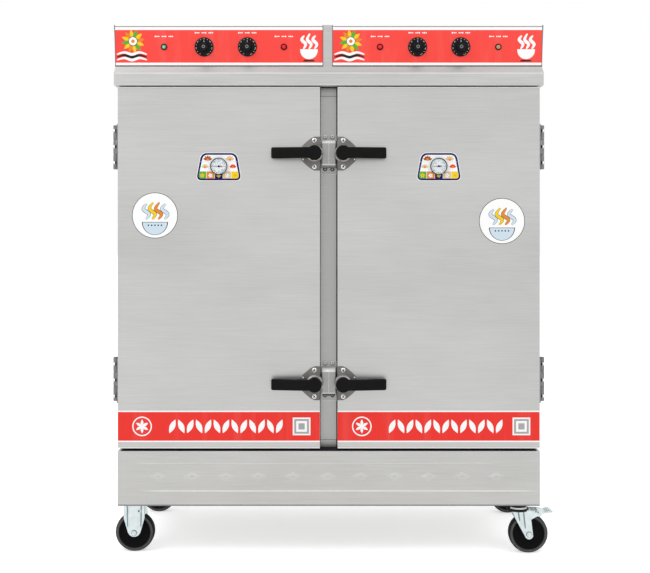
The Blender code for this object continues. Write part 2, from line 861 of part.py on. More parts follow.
def make_lamp(name, x, finish):
    """A signal lamp: a lens in a round bezel, with its body through the fascia."""
    points = [
        (0, lamp_lens_height),
        (lamp_lens_radius * lamp_lens_flat_share, lamp_lens_height),
        (lamp_lens_radius, lamp_bezel),
        (lamp_bezel_radius, lamp_bezel),
        (lamp_bezel_radius, 0),
        (lamp_body_radius, 0),
        (lamp_body_radius, -lamp_body_length),
        (0, -lamp_body_length),
    ]
    place = on_fascia(x, -control_drop, seat_gap)
    lamp = add_part(name, profile(points), finish, place, fascia_facing)
    spin(lamp, small_sides)


def make_strike(level, z):
    """A hat-shaped catch on the mullion, which both doors' tongues hook behind."""
    place = (0, frame_face_y - seat_gap, z)
    foot = strike_length / 2
    top = strike_web_length / 2
    knee = top + strike_leg_spread
    inner = strike_height - strike_sheet
    right_half = [
        (foot, 0),
        (foot, strike_sheet),
        (knee, strike_sheet),
        (top, strike_height),
    ]
    left_half = [(-y, height) for y, height in reversed(right_half)]
    hollow = [
        (-knee + strike_sheet, 0),
        (-top + strike_sheet, inner),
        (top - strike_sheet, inner),
        (knee - strike_sheet, 0),
    ]
    hat = folded_strip(strike_web_width, right_half + left_half + hollow)
    strike = add_part(f"strike_{level}", hat, "frame_steel", place, front_facing)
    half = strike_width / 2
    for way in (-1, 1):
        flange = ((-half, way * knee, 0), (half, way * foot, strike_sheet))
        join(strike, blocks(flange))


def make_door(name, side):
    """A door's outer skin, with its holes for the latches and the thermometer."""
    low = (side * door_inner_x, 0, door_bottom_z)
    high = (side * body_half, door_thickness, door_top_z)
    bm = open_box(low, high, (0, 1, 0))
    folds = [edge for edge in bm.edges if max(vert.co.y for vert in edge.verts) < door_thickness / 2]
    bmesh.ops.bevel(bm, geom=folds, offset=door_fold_radius, segments=2, profile=0.5, affect="EDGES")
    skin = add_part(f"door_skin_{name}", bm, "brushed_steel")
    shell(skin, skin_sheet)
    dial_z = door_top_z - dial_below_top
    holes = [(dials_x[name], dial_z, probe_radius)]
    holes += [(side * latch_x, latch_z, spindle_radius) for latch_z, hinge_z in door_levels.values()]
    for x, z, radius in holes:
        start = (x, -overrun, z)
        cut(skin, rod(start, (x, skin_sheet + overrun, z), radius + hole_gap, small_sides))
    for latch_z, hinge_z in door_levels.values():
        slot_low = (side * (door_inner_x - overrun), tongue_depth - overrun, latch_z - tongue_swing)
        slot_high = (
            side * (door_inner_x + skin_sheet + overrun),
            tongue_depth + tongue_thickness + overrun,
            latch_z + tongue_swing,
        )
        cut(skin, blocks((slot_low, slot_high)))


def make_door_liner(name, side):
    """A door's inner sheet, with a shallow pan that reaches into the chamber opening."""
    inset = skin_sheet + seat_gap
    low = (side * (door_inner_x + inset), door_thickness - liner_sheet, door_bottom_z + inset)
    high = (side * (body_half - inset), door_thickness, door_top_z - inset)
    liner = add_part(f"door_liner_{name}", blocks((low, high)), "liner_steel")
    pan_back = door_thickness + door_pan_depth
    join(liner, blocks(opening_corners(side, door_thickness - liner_sheet, pan_back, -door_pan_inset)))
    hollow = opening_corners(
        side,
        door_thickness - liner_sheet - overrun,
        pan_back - liner_sheet,
        -door_pan_inset - liner_sheet,
    )
    cut(liner, blocks(hollow))
    dial_z = door_top_z - dial_below_top
    start = (dials_x[name], pan_back - liner_sheet - overrun, dial_z)
    end = (dials_x[name], pan_back + overrun, dial_z)
    cut(liner, rod(start, end, probe_radius + hole_gap, small_sides))


def make_gasket(name, side):
    """The seal round a door's back, between the door and the frame."""
    low = (min(side * door_inner_x, side * body_half), door_bottom_z)
    high = (max(side * door_inner_x, side * body_half), door_top_z)
    rings = [
        rounded_rectangle(
            (low[0] + inset, low[1] + inset), (high[0] - inset, high[1] - inset), gasket_corner
        )
        for inset in (gasket_inset, gasket_inset + gasket_width)
    ]
    seal = standing_plate(gasket_thickness, door_thickness + seat_gap, *rings)
    add_part(f"door_gasket_{name}", seal, "white_seal")


def make_thermometer(name, side):
    """A dial thermometer: its case and probe, and its needle on a staff."""
    z = door_top_z - dial_below_top
    pit = dial_face_height - staff_length
    points = [
        (0, pit),
        (staff_radius + running_gap, pit),
        (staff_radius + running_gap, dial_face_height),
        (dial_radius, dial_face_height),
        (dial_radius, dial_case_height),
        (dial_case_radius - dial_rim_round, dial_case_height),
        (dial_case_radius, dial_case_height - dial_rim_round),
        (dial_case_radius, 0),
        (probe_radius, 0),
        (probe_radius, -door_thickness - probe_reach),
        (0, -door_thickness - probe_reach),
    ]
    place = (dials_x[name], -seat_gap, z)
    case = add_part(f"thermometer_case_{name}", profile(points), "dial_case", place, front_facing)
    spin(case, round_sides)
    half = needle_width / 2
    tip = needle_tip_width / 2
    pointer = [(-needle_length, -tip), (needle_tail, -half), (needle_tail, half), (-needle_length, tip)]
    bm = plate(needle_sheet, pointer)
    bmesh.ops.translate(bm, vec=(0, 0, dial_face_height + needle_lift), verts=bm.verts)
    needle = add_part(f"thermometer_needle_{name}", bm, "needle_red", place, front_facing)
    hub_low = dial_face_height + needle_lift - needle_sheet / 2
    join(needle, rod((0, 0, hub_low), (0, 0, hub_low + needle_hub_height), needle_hub_radius, small_sides))
    staff_low = dial_face_height - staff_length + running_gap
    join(needle, rod((0, 0, staff_low), (0, 0, hub_low + needle_sheet), staff_radius, small_sides))


def make_latch_base(name, level, side, z):
    """A latch's plate on the door, cut off at the door's edge, with the turret that the handle turns on."""
    edge = (latch_plate_edge_gap - latch_pivot_inset, latch_plate_height / 2)
    upper = [edge] + from_shares(latch_plate_outline_shares, latch_plate_reach, latch_plate_height / 2)
    outline = upper + [(x, -y) for x, y in reversed(upper)]
    outline = [(side * x, y) for x, y in outline]
    place = (side * latch_x, -seat_gap, z)
    base = add_part(
        f"latch_base_{name}_{level}", plate(latch_plate_thickness, outline), "cast_zinc", place, front_facing
    )
    turret_start = (0, 0, latch_plate_thickness / 2)
    turret_end = (0, 0, turret_height)
    join(base, rod(turret_start, turret_end, turret_radius, round_sides, turret_top_radius))
    bore_end = (0, 0, turret_height + overrun)
    cut(base, rod((0, 0, -overrun), bore_end, spindle_radius + running_gap, small_sides))


def lever_shape(side):
    """A handle's lever, which runs out from the head and sweeps back towards the door."""
    top = head_height - lever_top_inset
    low = (0, -lever_height / 2, top - lever_thickness)
    high = (side * lever_length, lever_height / 2, top)
    bm = blocks((low, high))
    for share in lever_section_shares:
        everything = bm.verts[:] + bm.edges[:] + bm.faces[:]
        place = (side * lever_length * share, 0, 0)
        bmesh.ops.bisect_plane(bm, geom=everything, plane_co=place, plane_no=(1, 0, 0))
    for vert in bm.verts:
        beyond = abs(vert.co.x) / lever_length - lever_straight_share
        share = max(beyond, 0) / (1 - lever_straight_share)
        ease = share * share * (3 - 2 * share)
        vert.co.z -= lever_drop * ease
        height = lever_neck_height + (lever_height - lever_neck_height) * ease
        vert.co.y *= height / lever_height
    return bm


def make_latch_handle(name, level, side, z):
    """A latch's handle: head, lever, spindle through the door's skin, and tongue at the door's edge."""
    points = [
        (0, head_height),
        (head_radius - head_round, head_height),
        (head_radius, head_height - head_round),
        (head_radius, turret_height + head_lift),
        (spindle_radius, turret_height + head_lift),
        (spindle_radius, -tongue_depth - tongue_thickness),
        (0, -tongue_depth - tongue_thickness),
    ]
    place = (side * latch_x, -seat_gap, z)
    handle = add_part(f"latch_handle_{name}_{level}", profile(points), "black_plastic", place, front_facing)
    spin(handle, round_sides)
    lever = join(handle, lever_shape(side))
    bevel = lever.modifiers.new("rounding", "BEVEL")
    bevel.width = lever_round
    bevel.segments = 2
    bevel.limit_method = "ANGLE"
    bevel.angle_limit = math.radians(50)
    tongue_low = (0, -tongue_height / 2, -tongue_depth - tongue_thickness)
    tongue_high = (-side * tongue_reach, tongue_height / 2, -tongue_depth)
    join(handle, blocks((tongue_low, tongue_high)))


def hinge_zones(frame_side):
    """The heights of a hinge's knuckles, on the leaf at the frame or on the leaf at the door."""
    half = hinge_height / 2
    middle = hinge_knuckle_height / 2
    if frame_side:
        return [(-half, -middle - running_gap), (middle + running_gap, half)]
    return [(-middle + running_gap, middle - running_gap)]


def make_hinge_leaf(name, level, side, z, frame_side):
    """One leaf of a hinge on the cabinet's side, with its knuckles round the pin's axis."""
    way = 1 if frame_side else -1
    owner = "frame" if frame_side else "door"
    inner = -side * (hinge_pin_offset - seat_gap)
    outer = -side * (hinge_pin_offset - seat_gap - hinge_leaf_sheet)
    half = hinge_height / 2
    leaf_low = (inner, way * hinge_leaf_gap, -half)
    leaf_high = (outer, way * (hinge_leaf_gap + hinge_leaf_width), half)
    place = (side * hinge_pin_x, hinge_pin_y, z)
    leaf = add_part(f"hinge_{owner}_leaf_{name}_{level}", blocks((leaf_low, leaf_high)), "zinc", place)
    for low, high in hinge_zones(frame_side):
        join(leaf, blocks(((inner, 0, low), (0, way * (hinge_leaf_gap + hinge_leaf_sheet), high))))
        join(leaf, rod((0, 0, low), (0, 0, high), hinge_knuckle_radius, small_sides))
    if frame_side:
        join(leaf, rod((0, 0, -half), (0, 0, half), hinge_pin_radius, small_sides))
    else:
        cut(leaf, rod((0, 0, -half), (0, 0, half), hinge_pin_radius + running_gap, small_sides))


def caster_plate(half_x, half_y):
    """A caster's top plate, just under the plinth."""
    return blocks(
        ((-half_x, -half_y, caster_height - caster_plate_sheet), (half_x, half_y, caster_height))
    )


def add_axle(fork, x):
    """An axle through both cheeks of a fork, with a nut outside each."""
    end_y = cheek_outer_y + axle_nut_length
    join(fork, rod((x, -end_y, wheel_radius), (x, end_y, wheel_radius), axle_radius, small_sides))
    for way in (-1, 1):
        start = (x, way * (cheek_inner_y + cheek_sheet / 2), wheel_radius)
        end = (x, way * (cheek_outer_y + axle_nut_length / 2), wheel_radius)
        join(fork, rod(start, end, axle_nut_radius, 6))


def add_cheeks(fork, outline):
    """The two side plates of a fork, in front of the wheel and behind it."""
    for y in (-cheek_outer_y, cheek_inner_y):
        join(fork, standing_plate(cheek_sheet, y, outline))


def make_rigid_caster(row, x, y):
    """A fixed caster's plate and fork, with its axle."""
    caster = add_part(
        f"rigid_caster_{row}",
        caster_plate(caster_plate_length / 2, caster_plate_width / 2),
        "zinc",
        (x, y, 0),
    )
    top = caster_height - caster_plate_sheet / 2
    shoulder = caster_height - rigid_fork_shoulder_drop
    tip = arc((0, wheel_radius + rigid_fork_tip_rise), rigid_fork_tip_radius, 200, 340)
    outline = [
        (-rigid_fork_half_width, top),
        (-rigid_fork_half_width, shoulder),
        *tip,
        (rigid_fork_half_width, shoulder),
        (rigid_fork_half_width, top),
    ]
    add_cheeks(caster, outline)
    add_axle(caster, 0)


def make_swivel_plate(row, x, y):
    """A swivel caster's top plate with its ball race, bored for the kingpin."""
    plate_part = add_part(
        f"swivel_plate_{row}",
        caster_plate(caster_plate_length / 2, caster_plate_width / 2),
        "zinc",
        (x, y, 0),
    )
    start = (0, 0, swivel_race_bottom_z)
    end = (0, 0, caster_height - caster_plate_sheet / 2)
    join(plate_part, rod(start, end, swivel_race_radius))
    bore_end = (0, 0, swivel_race_bottom_z + kingpin_length + running_gap)
    bore_start = (0, 0, swivel_race_bottom_z - overrun)
    cut(plate_part, rod(bore_start, bore_end, kingpin_radius + running_gap, small_sides))


def make_swivel_fork(row, x, y):
    """A swivel fork with its crown, kingpin, trailing cheeks and axle."""
    crown_z = swivel_fork_top_z - swivel_crown_sheet
    crown = rod((0, 0, crown_z), (0, 0, swivel_fork_top_z), swivel_ring_radius)
    fork = add_part(f"swivel_fork_{row}", crown, "zinc", (x, y, 0))
    kingpin_top = (0, 0, swivel_race_bottom_z + kingpin_length)
    join(fork, rod((0, 0, crown_z), kingpin_top, kingpin_radius, small_sides))
    cheek_top = swivel_fork_top_z - swivel_crown_sheet / 2
    height = cheek_top - wheel_radius
    front_edge = from_shares(swivel_fork_front_shares, swivel_fork_reach, height, wheel_radius)
    back_edge = from_shares(swivel_fork_back_shares, swivel_fork_reach, height, wheel_radius)
    tip = arc((swivel_trail, wheel_radius - swivel_fork_tip_drop), swivel_fork_tip_radius, 210, 350)
    add_cheeks(fork, front_edge + tip + back_edge)
    bridge_low = (front_edge[0][0], -cheek_outer_y + cheek_sheet / 2, crown_z)
    bridge_high = (
        swivel_fork_reach * swivel_bridge_share,
        cheek_outer_y - cheek_sheet / 2,
        swivel_fork_top_z - seat_gap,
    )
    join(fork, blocks((bridge_low, bridge_high)))
    add_axle(fork, swivel_trail)
    pivot_z = cheek_top - pedal_pivot_drop
    pin_start = (pedal_pivot_x, -cheek_outer_y - overrun, pivot_z)
    pin_end = (pedal_pivot_x, cheek_outer_y + overrun, pivot_z)
    cut(fork, rod(pin_start, pin_end, pedal_pin_radius + running_gap, small_sides))


def make_brake_pedal(row, x, y):
    """The brake's foot pedal: a channel that is hinged between the cheeks, beyond the wheel's top."""
    half = cheek_inner_y - pedal_width_margin
    pivot_z = swivel_fork_top_z - swivel_crown_sheet / 2 - pedal_pivot_drop
    place = (x + pedal_pivot_x, y, pivot_z)
    reach = pedal_reach - pedal_pivot_x
    foot = -pedal_boss_radius / 2
    upper = from_shares(pedal_top_shares, reach, pedal_height, foot)
    lower = from_shares(pedal_bottom_shares, reach, pedal_height, foot)
    pedal = add_part(f"brake_pedal_{row}", standing_plate(2 * half, -half, upper + lower), "zinc", place)
    hollow = [(x - math.copysign(pedal_sheet, x), z - pedal_sheet) for x, z in upper]
    hollow += [(x - math.copysign(pedal_sheet, x), z - pedal_height) for x, z in lower]
    cut(pedal, standing_plate(2 * (half - pedal_sheet), pedal_sheet - half, hollow))
    join(pedal, rod((0, -half, 0), (0, half, 0), pedal_boss_radius, small_sides))
    pin_start = (0, -cheek_outer_y, 0)
    pin_end = (0, cheek_outer_y, 0)
    join(pedal, rod(pin_start, pin_end, pedal_pin_radius, small_sides))


def make_wheel(name, x, y):
    """A wheel with a flat side of its outline on the floor."""
    outer = wheel_radius / math.cos(math.pi / wheel_sides)
    half_profile = [
        (axle_radius + running_gap, wheel_hub_width / 2),
        (wheel_hub_radius, wheel_hub_width / 2),
        (wheel_rim_radius, wheel_disc_width / 2),
        (outer - wheel_edge, wheel_width / 2),
        (outer, wheel_width / 2 - wheel_edge),
    ]
    points = half_profile + [(radius, -height) for radius, height in reversed(half_profile)]
    half_step = math.pi / wheel_sides
    turn = (math.radians(90), half_step, 0)
    bm = profile(points, closed=True)
    wheel = add_part(f"wheel_{name}", bm, "grey_rubber", (x, y, wheel_radius), turn)
    spin(wheel, wheel_sides)


def set_origin():
    """Puts the origin under the middle of the whole object's box."""
    widest = max(hinge_pin_x + hinge_knuckle_radius, body_half + cap_side_overhang, box_top_half)
    left = max(*(wheel_radius - x for x, y in rigid_places.values()), widest)
    right = max(*(x + pedal_reach for x, y in swivel_places.values()), widest)
    front = seat_gap + head_height
    back = body_depth + drain_reach
    cabinet.location = (-(right - left) / 2, -(back - front) / 2, 0)


def make_cabinet():
    make_plinth()
    make_casing()
    make_front_frame()
    make_cap()
    make_control_box()
    make_gland()
    for name, x in knobs_x.items():
        make_knob(name, x)
    for name, (x, lens) in lamps_x.items():
        make_lamp(name, x, lens)
    make_switch_bracket("left", left_knobs_x)
    make_switch_bracket("right", right_knobs_x)
    for level, (latch_z, hinge_z) in door_levels.items():
        make_strike(level, latch_z)
    for name, side in sides.items():
        make_liner(name, side)
        make_heater(name, side)
        make_door(name, side)
        make_door_liner(name, side)
        make_gasket(name, side)
        make_thermometer(name, side)
        for level, (latch_z, hinge_z) in door_levels.items():
            make_latch_base(name, level, side, latch_z)
            make_latch_handle(name, level, side, latch_z)
            make_hinge_leaf(name, level, side, hinge_z, frame_side=True)
            make_hinge_leaf(name, level, side, hinge_z, frame_side=False)
    for row, (x, y) in rigid_places.items():
        make_rigid_caster(row, x, y)
        make_wheel(f"left_{row}", x, y)
    for row, (x, y) in swivel_places.items():
        make_swivel_plate(row, x, y)
        make_swivel_fork(row, x, y)
        make_brake_pedal(row, x, y)
        make_wheel(f"right_{row}", x + swivel_trail, y)
    set_origin()


make_cabinet()
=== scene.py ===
"""The looks of the rice steamer cabinet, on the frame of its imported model.

Metres, +Z up; the doors face -Y. Pieces are made in local frames whose X runs right, Y runs up and
Z comes out of the surface that they sit on.
"""

import json
import math

import bmesh
import bpy
from mathutils import Matrix, Vector


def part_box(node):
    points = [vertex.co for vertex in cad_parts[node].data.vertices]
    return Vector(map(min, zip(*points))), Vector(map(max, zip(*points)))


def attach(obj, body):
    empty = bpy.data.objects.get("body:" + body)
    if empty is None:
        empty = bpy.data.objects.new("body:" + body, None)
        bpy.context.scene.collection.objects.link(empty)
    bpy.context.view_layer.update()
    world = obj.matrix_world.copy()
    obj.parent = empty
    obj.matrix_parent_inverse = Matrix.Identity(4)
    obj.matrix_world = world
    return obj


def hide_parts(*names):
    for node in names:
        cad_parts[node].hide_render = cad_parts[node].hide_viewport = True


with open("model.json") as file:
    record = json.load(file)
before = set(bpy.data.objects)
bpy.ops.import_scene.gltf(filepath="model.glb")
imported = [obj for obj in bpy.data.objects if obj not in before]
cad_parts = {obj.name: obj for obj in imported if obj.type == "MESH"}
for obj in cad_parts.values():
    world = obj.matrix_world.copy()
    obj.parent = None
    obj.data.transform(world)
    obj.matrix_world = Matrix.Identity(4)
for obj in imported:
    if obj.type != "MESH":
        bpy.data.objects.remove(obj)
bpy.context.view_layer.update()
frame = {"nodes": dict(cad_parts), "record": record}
nodes = frame["nodes"]
joints = {joint["name"]: joint for joint in frame["record"]["behaviour"]["joints"]}

rows = ("upper", "lower")
sides = {"left": -1, "right": 1}

plinth_low, plinth_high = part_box("base_plinth")
middle_x = (plinth_low.x + plinth_high.x) / 2
door_y = plinth_low.y
in_place = Matrix.Identity(4)

photo_width = 650
photo_middle = 328.8
photo_floor = 558.5
pixels_per_metre = 327


# Materials


def add_node(tree, kind, inputs=None, **settings):
    made = tree.nodes.new(kind)
    for key, value in settings.items():
        setattr(made, key, value)
    for key, value in (inputs or {}).items():
        if isinstance(value, bpy.types.NodeSocket):
            tree.links.new(value, made.inputs[key])
        else:
            made.inputs[key].default_value = value
    return made


def scaled(colour, factor):
    return (*(min(channel * factor, 1) for channel in colour), 1)


def grey(level):
    return (level, level, level)


def noise(tree, scale, detail=3, roughness=0.5, lean=0.0):
    """Noise in the piece's own coordinates, with one scale or a scale for each axis."""
    place = add_node(tree, "ShaderNodeTexCoord").outputs["Object"]
    scale = scale if isinstance(scale, tuple) else grey(scale)
    turn = {"Vector": place, "Scale": scale, "Rotation": (0, lean, 0)}
    mapping = add_node(tree, "ShaderNodeMapping", turn)
    settings = {"Vector": mapping.outputs["Vector"], "Scale": 1, "Detail": detail, "Roughness": roughness}
    return add_node(tree, "ShaderNodeTexNoise", settings).outputs["Fac"]


def maths(tree, operation, *values):
    return add_node(tree, "ShaderNodeMath", dict(enumerate(values)), operation=operation).outputs[0]


def spread(tree, value, low, high, start=0.3, end=0.7):
    """A noise value mapped to a range."""
    settings = {"Value": value, "From Min": start, "From Max": end, "To Min": low, "To Max": high}
    return add_node(tree, "ShaderNodeMapRange", settings).outputs["Result"]


def mixed(tree, factor, first, second, blend="MIX"):
    inputs = {0: factor, 6: first, 7: second}
    return add_node(tree, "ShaderNodeMix", inputs, data_type="RGBA", blend_type=blend).outputs[2]


def varied(tree, value, colour, darker, lighter):
    """A colour that drifts with a noise value between two brightness factors."""
    return mixed(tree, spread(tree, value, 0, 1), scaled(colour, darker), scaled(colour, lighter))


def edge_mask(tree, radius):
    """Near one along the edges of a piece, and zero on its flats."""
    rounded = add_node(tree, "ShaderNodeBevel", {"Radius": radius}, samples=4).outputs["Normal"]
    flat = add_node(tree, "ShaderNodeNewGeometry").outputs["Normal"]
    dot = add_node(tree, "ShaderNodeVectorMath", {0: rounded, 1: flat}, operation="DOT_PRODUCT")
    return spread(tree, dot.outputs["Value"], 0, 1, 0.995, 0.8)


def base_material(name, metallic, gloss=0.5, **extras):
    material = bpy.data.materials.new(name)
    material.use_nodes = True
    shader = material.node_tree.nodes["Principled BSDF"]
    shader.inputs["Metallic"].default_value = metallic
    shader.inputs["Specular IOR Level"].default_value = gloss
    for key, value in extras.items():
        shader.inputs[key.replace("_", " ")].default_value = value
    return material, material.node_tree, shader


def finish_material(tree, shader, colour, roughness, height, depth):
    tree.links.new(colour, shader.inputs["Base Color"])
    tree.links.new(roughness, shader.inputs["Roughness"])
    bump = add_node(tree, "ShaderNodeBump", {"Height": height, "Strength": 0.5, "Distance": depth})
    tree.links.new(bump.outputs["Normal"], shader.inputs["Normal"])


def brushed_steel(name, colour, roughness, edge_highlight_colour, edge=0.0016, contrast=0.05):
    """Sheet brushed across its width, with faint clouds, hairline scratches and painted highlights along
    its edges.
    """
    material, tree, shader = base_material(name, 1)
    across = noise(tree, (8, 8, 420), 4, 0.6)
    along = noise(tree, (8, 420, 8), 4, 0.6)
    normal = add_node(tree, "ShaderNodeNewGeometry").outputs["Normal"]
    rise = add_node(tree, "ShaderNodeSeparateXYZ", {0: normal}).outputs["Z"]
    level = spread(tree, maths(tree, "ABSOLUTE", rise), 0, 1, 0.6, 0.8)
    grain = add_node(tree, "ShaderNodeMix", {0: level, 2: across, 3: along}).outputs[0]
    clouds = noise(tree, (2.2, 2.2, 5), 3, 0.55)
    scratches = noise(tree, (14, 14, 900), 2, 0.5, 0.03)
    tone = varied(tree, grain, colour, 1 - contrast, 1 + contrast)
    dull = varied(tree, clouds, (1, 1, 1), 1 - 1.6 * contrast, 1)
    tone = mixed(tree, 1.0, tone, dull, "MULTIPLY")
    upright = maths(tree, "SUBTRACT", 1.0, level)
    hair = maths(tree, "MULTIPLY", spread(tree, scratches, 0, 0.5, 0.68, 0.74), upright)
    tone = mixed(tree, hair, tone, scaled(colour, 1.25))
    # Painted highlight: the colour turns lighter along every edge.
    tone = mixed(tree, edge_mask(tree, edge), tone, (*edge_highlight_colour, 1))
    cloudy = spread(tree, clouds, roughness - 0.04, roughness + 0.04)
    rough = maths(tree, "ADD", spread(tree, grain, -0.04, 0.04), cloudy)
    finish_material(tree, shader, tone, rough, grain, 0.00006)
    return material


def speckled(name, colour, roughness, metallic, grain, clouds, contrast, depth, edge_wear_and_sheen, gloss=0.5):
    """A cast, moulded or plated surface: fine grain, soft clouds and edges painted to another brightness by
    a factor, as wear and painted highlight above one and as painted shade below one.
    """
    material, tree, shader = base_material(name, metallic, gloss)
    fine = noise(tree, grain, 2, 0.6)
    broad = noise(tree, clouds, 3, 0.5)
    tone = varied(tree, broad, colour, 1 - contrast, 1 + contrast)
    tone = mixed(tree, spread(tree, fine, 0, 0.35, 0.5, 0.75), tone, scaled(colour, 1 + 2 * contrast))
    # Edges lighter by a factor above one, as wear and painted highlight, and darker below one, as painted
    # shade.
    tone = mixed(tree, edge_mask(tree, 0.0008), tone, scaled(colour, edge_wear_and_sheen))
    rough = spread(tree, broad, roughness - 0.05, roughness + 0.07)
    finish_material(tree, shader, tone, rough, fine, depth)
    return material


def printed(name, colour):
    """Printed vinyl film: an even ink with a fine print grain, faint upright streaks and a soft gloss."""
    material, tree, shader = base_material(name, 0, 0.12)
    dots = noise(tree, 1600, 1, 0.5)
    rubs = noise(tree, (34, 34, 1.5), 3, 0.55)
    tone = varied(tree, dots, colour, 0.97, 1.02)
    tone = mixed(tree, spread(tree, rubs, 0, 0.03, 0.5, 0.7), tone, (0.9, 0.88, 0.86, 1))
    finish_material(tree, shader, tone, spread(tree, rubs, 0.38, 0.5), dots, 0.00001)
    return material


def lens(name, colour):
    """A tinted lamp lens with a tone that drifts at random and fine moulded facets."""
    material, tree, shader = base_material(name, 0, 0.25, Coat_Weight=0.1, Coat_Roughness=0.12)
    facets = noise(tree, 700, 1, 0.4)
    tone = varied(tree, noise(tree, 160, 2, 0.5), colour, 0.7, 1.25)
    finish_material(tree, shader, tone, spread(tree, facets, 0.12, 0.26), facets, 0.00012)
    return material


def clear_glass(name):
    material, tree, shader = base_material(name, 0, Transmission_Weight=1.0, IOR=1.1)
    smears = noise(tree, 60, 3, 0.5)
    tone = mixed(tree, spread(tree, smears, 0, 1), (0.97, 0.98, 0.98, 1), (1, 1, 1, 1))
    finish_material(tree, shader, tone, spread(tree, smears, 0.0, 0.05), smears, 0.000002)
    return material


def tread_rubber(name, colour):
    """Moulded rubber with fine pores and dusty patches."""
    material, tree, shader = base_material(name, 0, 0.2)
    pores = noise(tree, 1200, 2, 0.6)
    dust = noise(tree, 40, 4, 0.6)
    tone = varied(tree, dust, colour, 0.8, 1.25)
    tone = mixed(tree, spread(tree, dust, 0, 0.35, 0.55, 0.75), tone, scaled(colour, 2.2))
    finish_material(tree, shader, tone, spread(tree, dust, 0.55, 0.8), pores, 0.0001)
    return material


def heated_steel(name):
    """Heater tube: steel with straw and blue heat tints."""
    material, tree, shader = base_material(name, 1)
    tint = noise(tree, 18, 3, 0.6)
    grain = noise(tree, 700, 2, 0.6)
    tone = mixed(tree, spread(tree, tint, 0, 1, 0.35, 0.6), (0.3, 0.25, 0.17, 1), (0.26, 0.27, 0.33, 1))
    finish_material(tree, shader, tone, spread(tree, tint, 0.28, 0.45), grain, 0.00004)
    return material


steel = brushed_steel("door_steel", (0.582, 0.582, 0.569), 0.36, (0.7, 0.7, 0.69))
cap_steel = brushed_steel("cap_steel", (0.585, 0.585, 0.572), 0.46, (0.8, 0.8, 0.79), contrast=0.07)
plinth_steel = brushed_steel("plinth_steel", (0.575, 0.575, 0.56), 0.38, (0.84, 0.84, 0.83), contrast=0.06)
# The post's steel is a darker copy of the door's steel: painted shade for the recess between the doors.
post_steel_shaded = brushed_steel("post_steel_shaded", (0.45, 0.45, 0.44), 0.36, (0.75, 0.75, 0.74))
inner_steel = brushed_steel("inner_steel", (0.62, 0.62, 0.61), 0.28, (0.8, 0.8, 0.79))
# Near-white painted highlight for the doors' folded hems.
hem_highlight = speckled("hem_highlight", grey(0.98), 0.55, 0.0, 500, 60, 0.02, 0.00003, 1.0)
# Light, nearly plain sheet for painted highlights: bright lines, slopes, washers, strips and arcs.
highlight_sheet = speckled("highlight_sheet", (0.86, 0.87, 0.87), 0.45, 0.15, 500, 60, 0.06, 0.00003, 1.1)
# The strike's steel is a darker copy of the door's steel: painted shade for the recess between the doors.
strike_steel_shaded = brushed_steel("strike_steel_shaded", (0.375, 0.375, 0.365), 0.32, (0.92, 0.92, 0.91), edge=0.0012)
zinc = speckled("zinc_plate", (0.71, 0.79, 0.8), 0.34, 1, 500, 60, 0.08, 0.00004, 1.3)
# Darker zinc, painted shade along ribs, creases and ridges.
zinc_shade = speckled("zinc_shade", (0.2, 0.3, 0.34), 0.4, 0.8, 500, 60, 0.08, 0.00003, 1.2)
hinge_grey = speckled("hinge_plate", (0.23, 0.235, 0.235), 0.42, 1, 500, 60, 0.14, 0.00005, 1.5)
bright_screw = speckled("screw_steel", grey(0.8), 0.22, 1, 600, 90, 0.06, 0.00003, 1.2)
cast_grey = speckled("cast_plate", (0.165, 0.16, 0.152), 0.46, 1, 420, 45, 0.22, 0.00012, 0.55)
turret_metal = speckled("turret_metal", (0.74, 0.74, 0.73), 0.34, 1, 500, 60, 0.08, 0.00005, 1.5)
black_plastic = speckled("black_plastic", grey(0.004), 0.42, 0, 1100, 40, 0.2, 0.00006, 2.6, gloss=0.1)
knob_plastic = speckled(
    "knob_plastic", (0.0052, 0.0052, 0.0056), 0.36, 0, 1400, 60, 0.2, 0.00003, 6, gloss=0.14
)
hub_plastic = speckled("wheel_hub_plastic", grey(0.0026), 0.5, 0, 900, 50, 0.25, 0.00008, 3, gloss=0.07)
# Near-black for painted shade in recesses, holes, gaps and under parts, and for the dial needle's hub.
painted_shade_black = speckled("painted_shade_black", grey(0.016), 0.6, 0, 700, 60, 0.3, 0.00004, 1.2, gloss=0.2)
bezel_metal = speckled("bezel_metal", (0.05, 0.056, 0.06), 0.3, 1, 600, 60, 0.12, 0.00003, 2.4)
lamp_bezel = speckled("lamp_bezel", (0.02, 0.009, 0.008), 0.5, 0, 700, 80, 0.15, 0.00004, 1.3, gloss=0.1)
number_white = speckled("number_white", grey(0.8), 0.5, 0, 900, 80, 0.05, 0.00002, 1)
seal_silicone = speckled("seal_silicone", (0.5, 0.5, 0.47), 0.55, 0, 500, 25, 0.07, 0.00006, 1.1)
dial_enamel = speckled("dial_enamel", (0.82, 0.89, 0.92), 0.4, 0, 800, 60, 0.04, 0.00001, 1)
dial_mark = speckled("dial_mark", (0.12, 0.14, 0.16), 0.5, 0, 900, 80, 0.1, 0.00001, 1)
needle_red = speckled("needle_red", (0.42, 0.035, 0.03), 0.4, 0, 900, 80, 0.1, 0.00002, 1.3)
switch_plastic = speckled("switch_plastic", (0.35, 0.33, 0.28), 0.5, 0, 800, 40, 0.1, 0.00005, 1.2)
tread = tread_rubber("tread_rubber", (0.011, 0.011, 0.012))
tread_band = tread_rubber("tread_band", (0.08, 0.08, 0.082))
heater_metal = heated_steel("heater_metal")
glass = clear_glass("dial_glass")
green_lens = lens("green_lens", (0.12, 0.42, 0.24))
pale_lens = lens("pale_green_lens", (0.42, 0.66, 0.52))
red_lens = lens("red_lens", (0.88, 0.012, 0.03))
amber_lens = lens("amber_lens", (0.52, 0.33, 0.2))
panel_red = printed("panel_red", (0.95, 0.076, 0.062))
band_red = printed("band_red", (0.85, 0.042, 0.033))
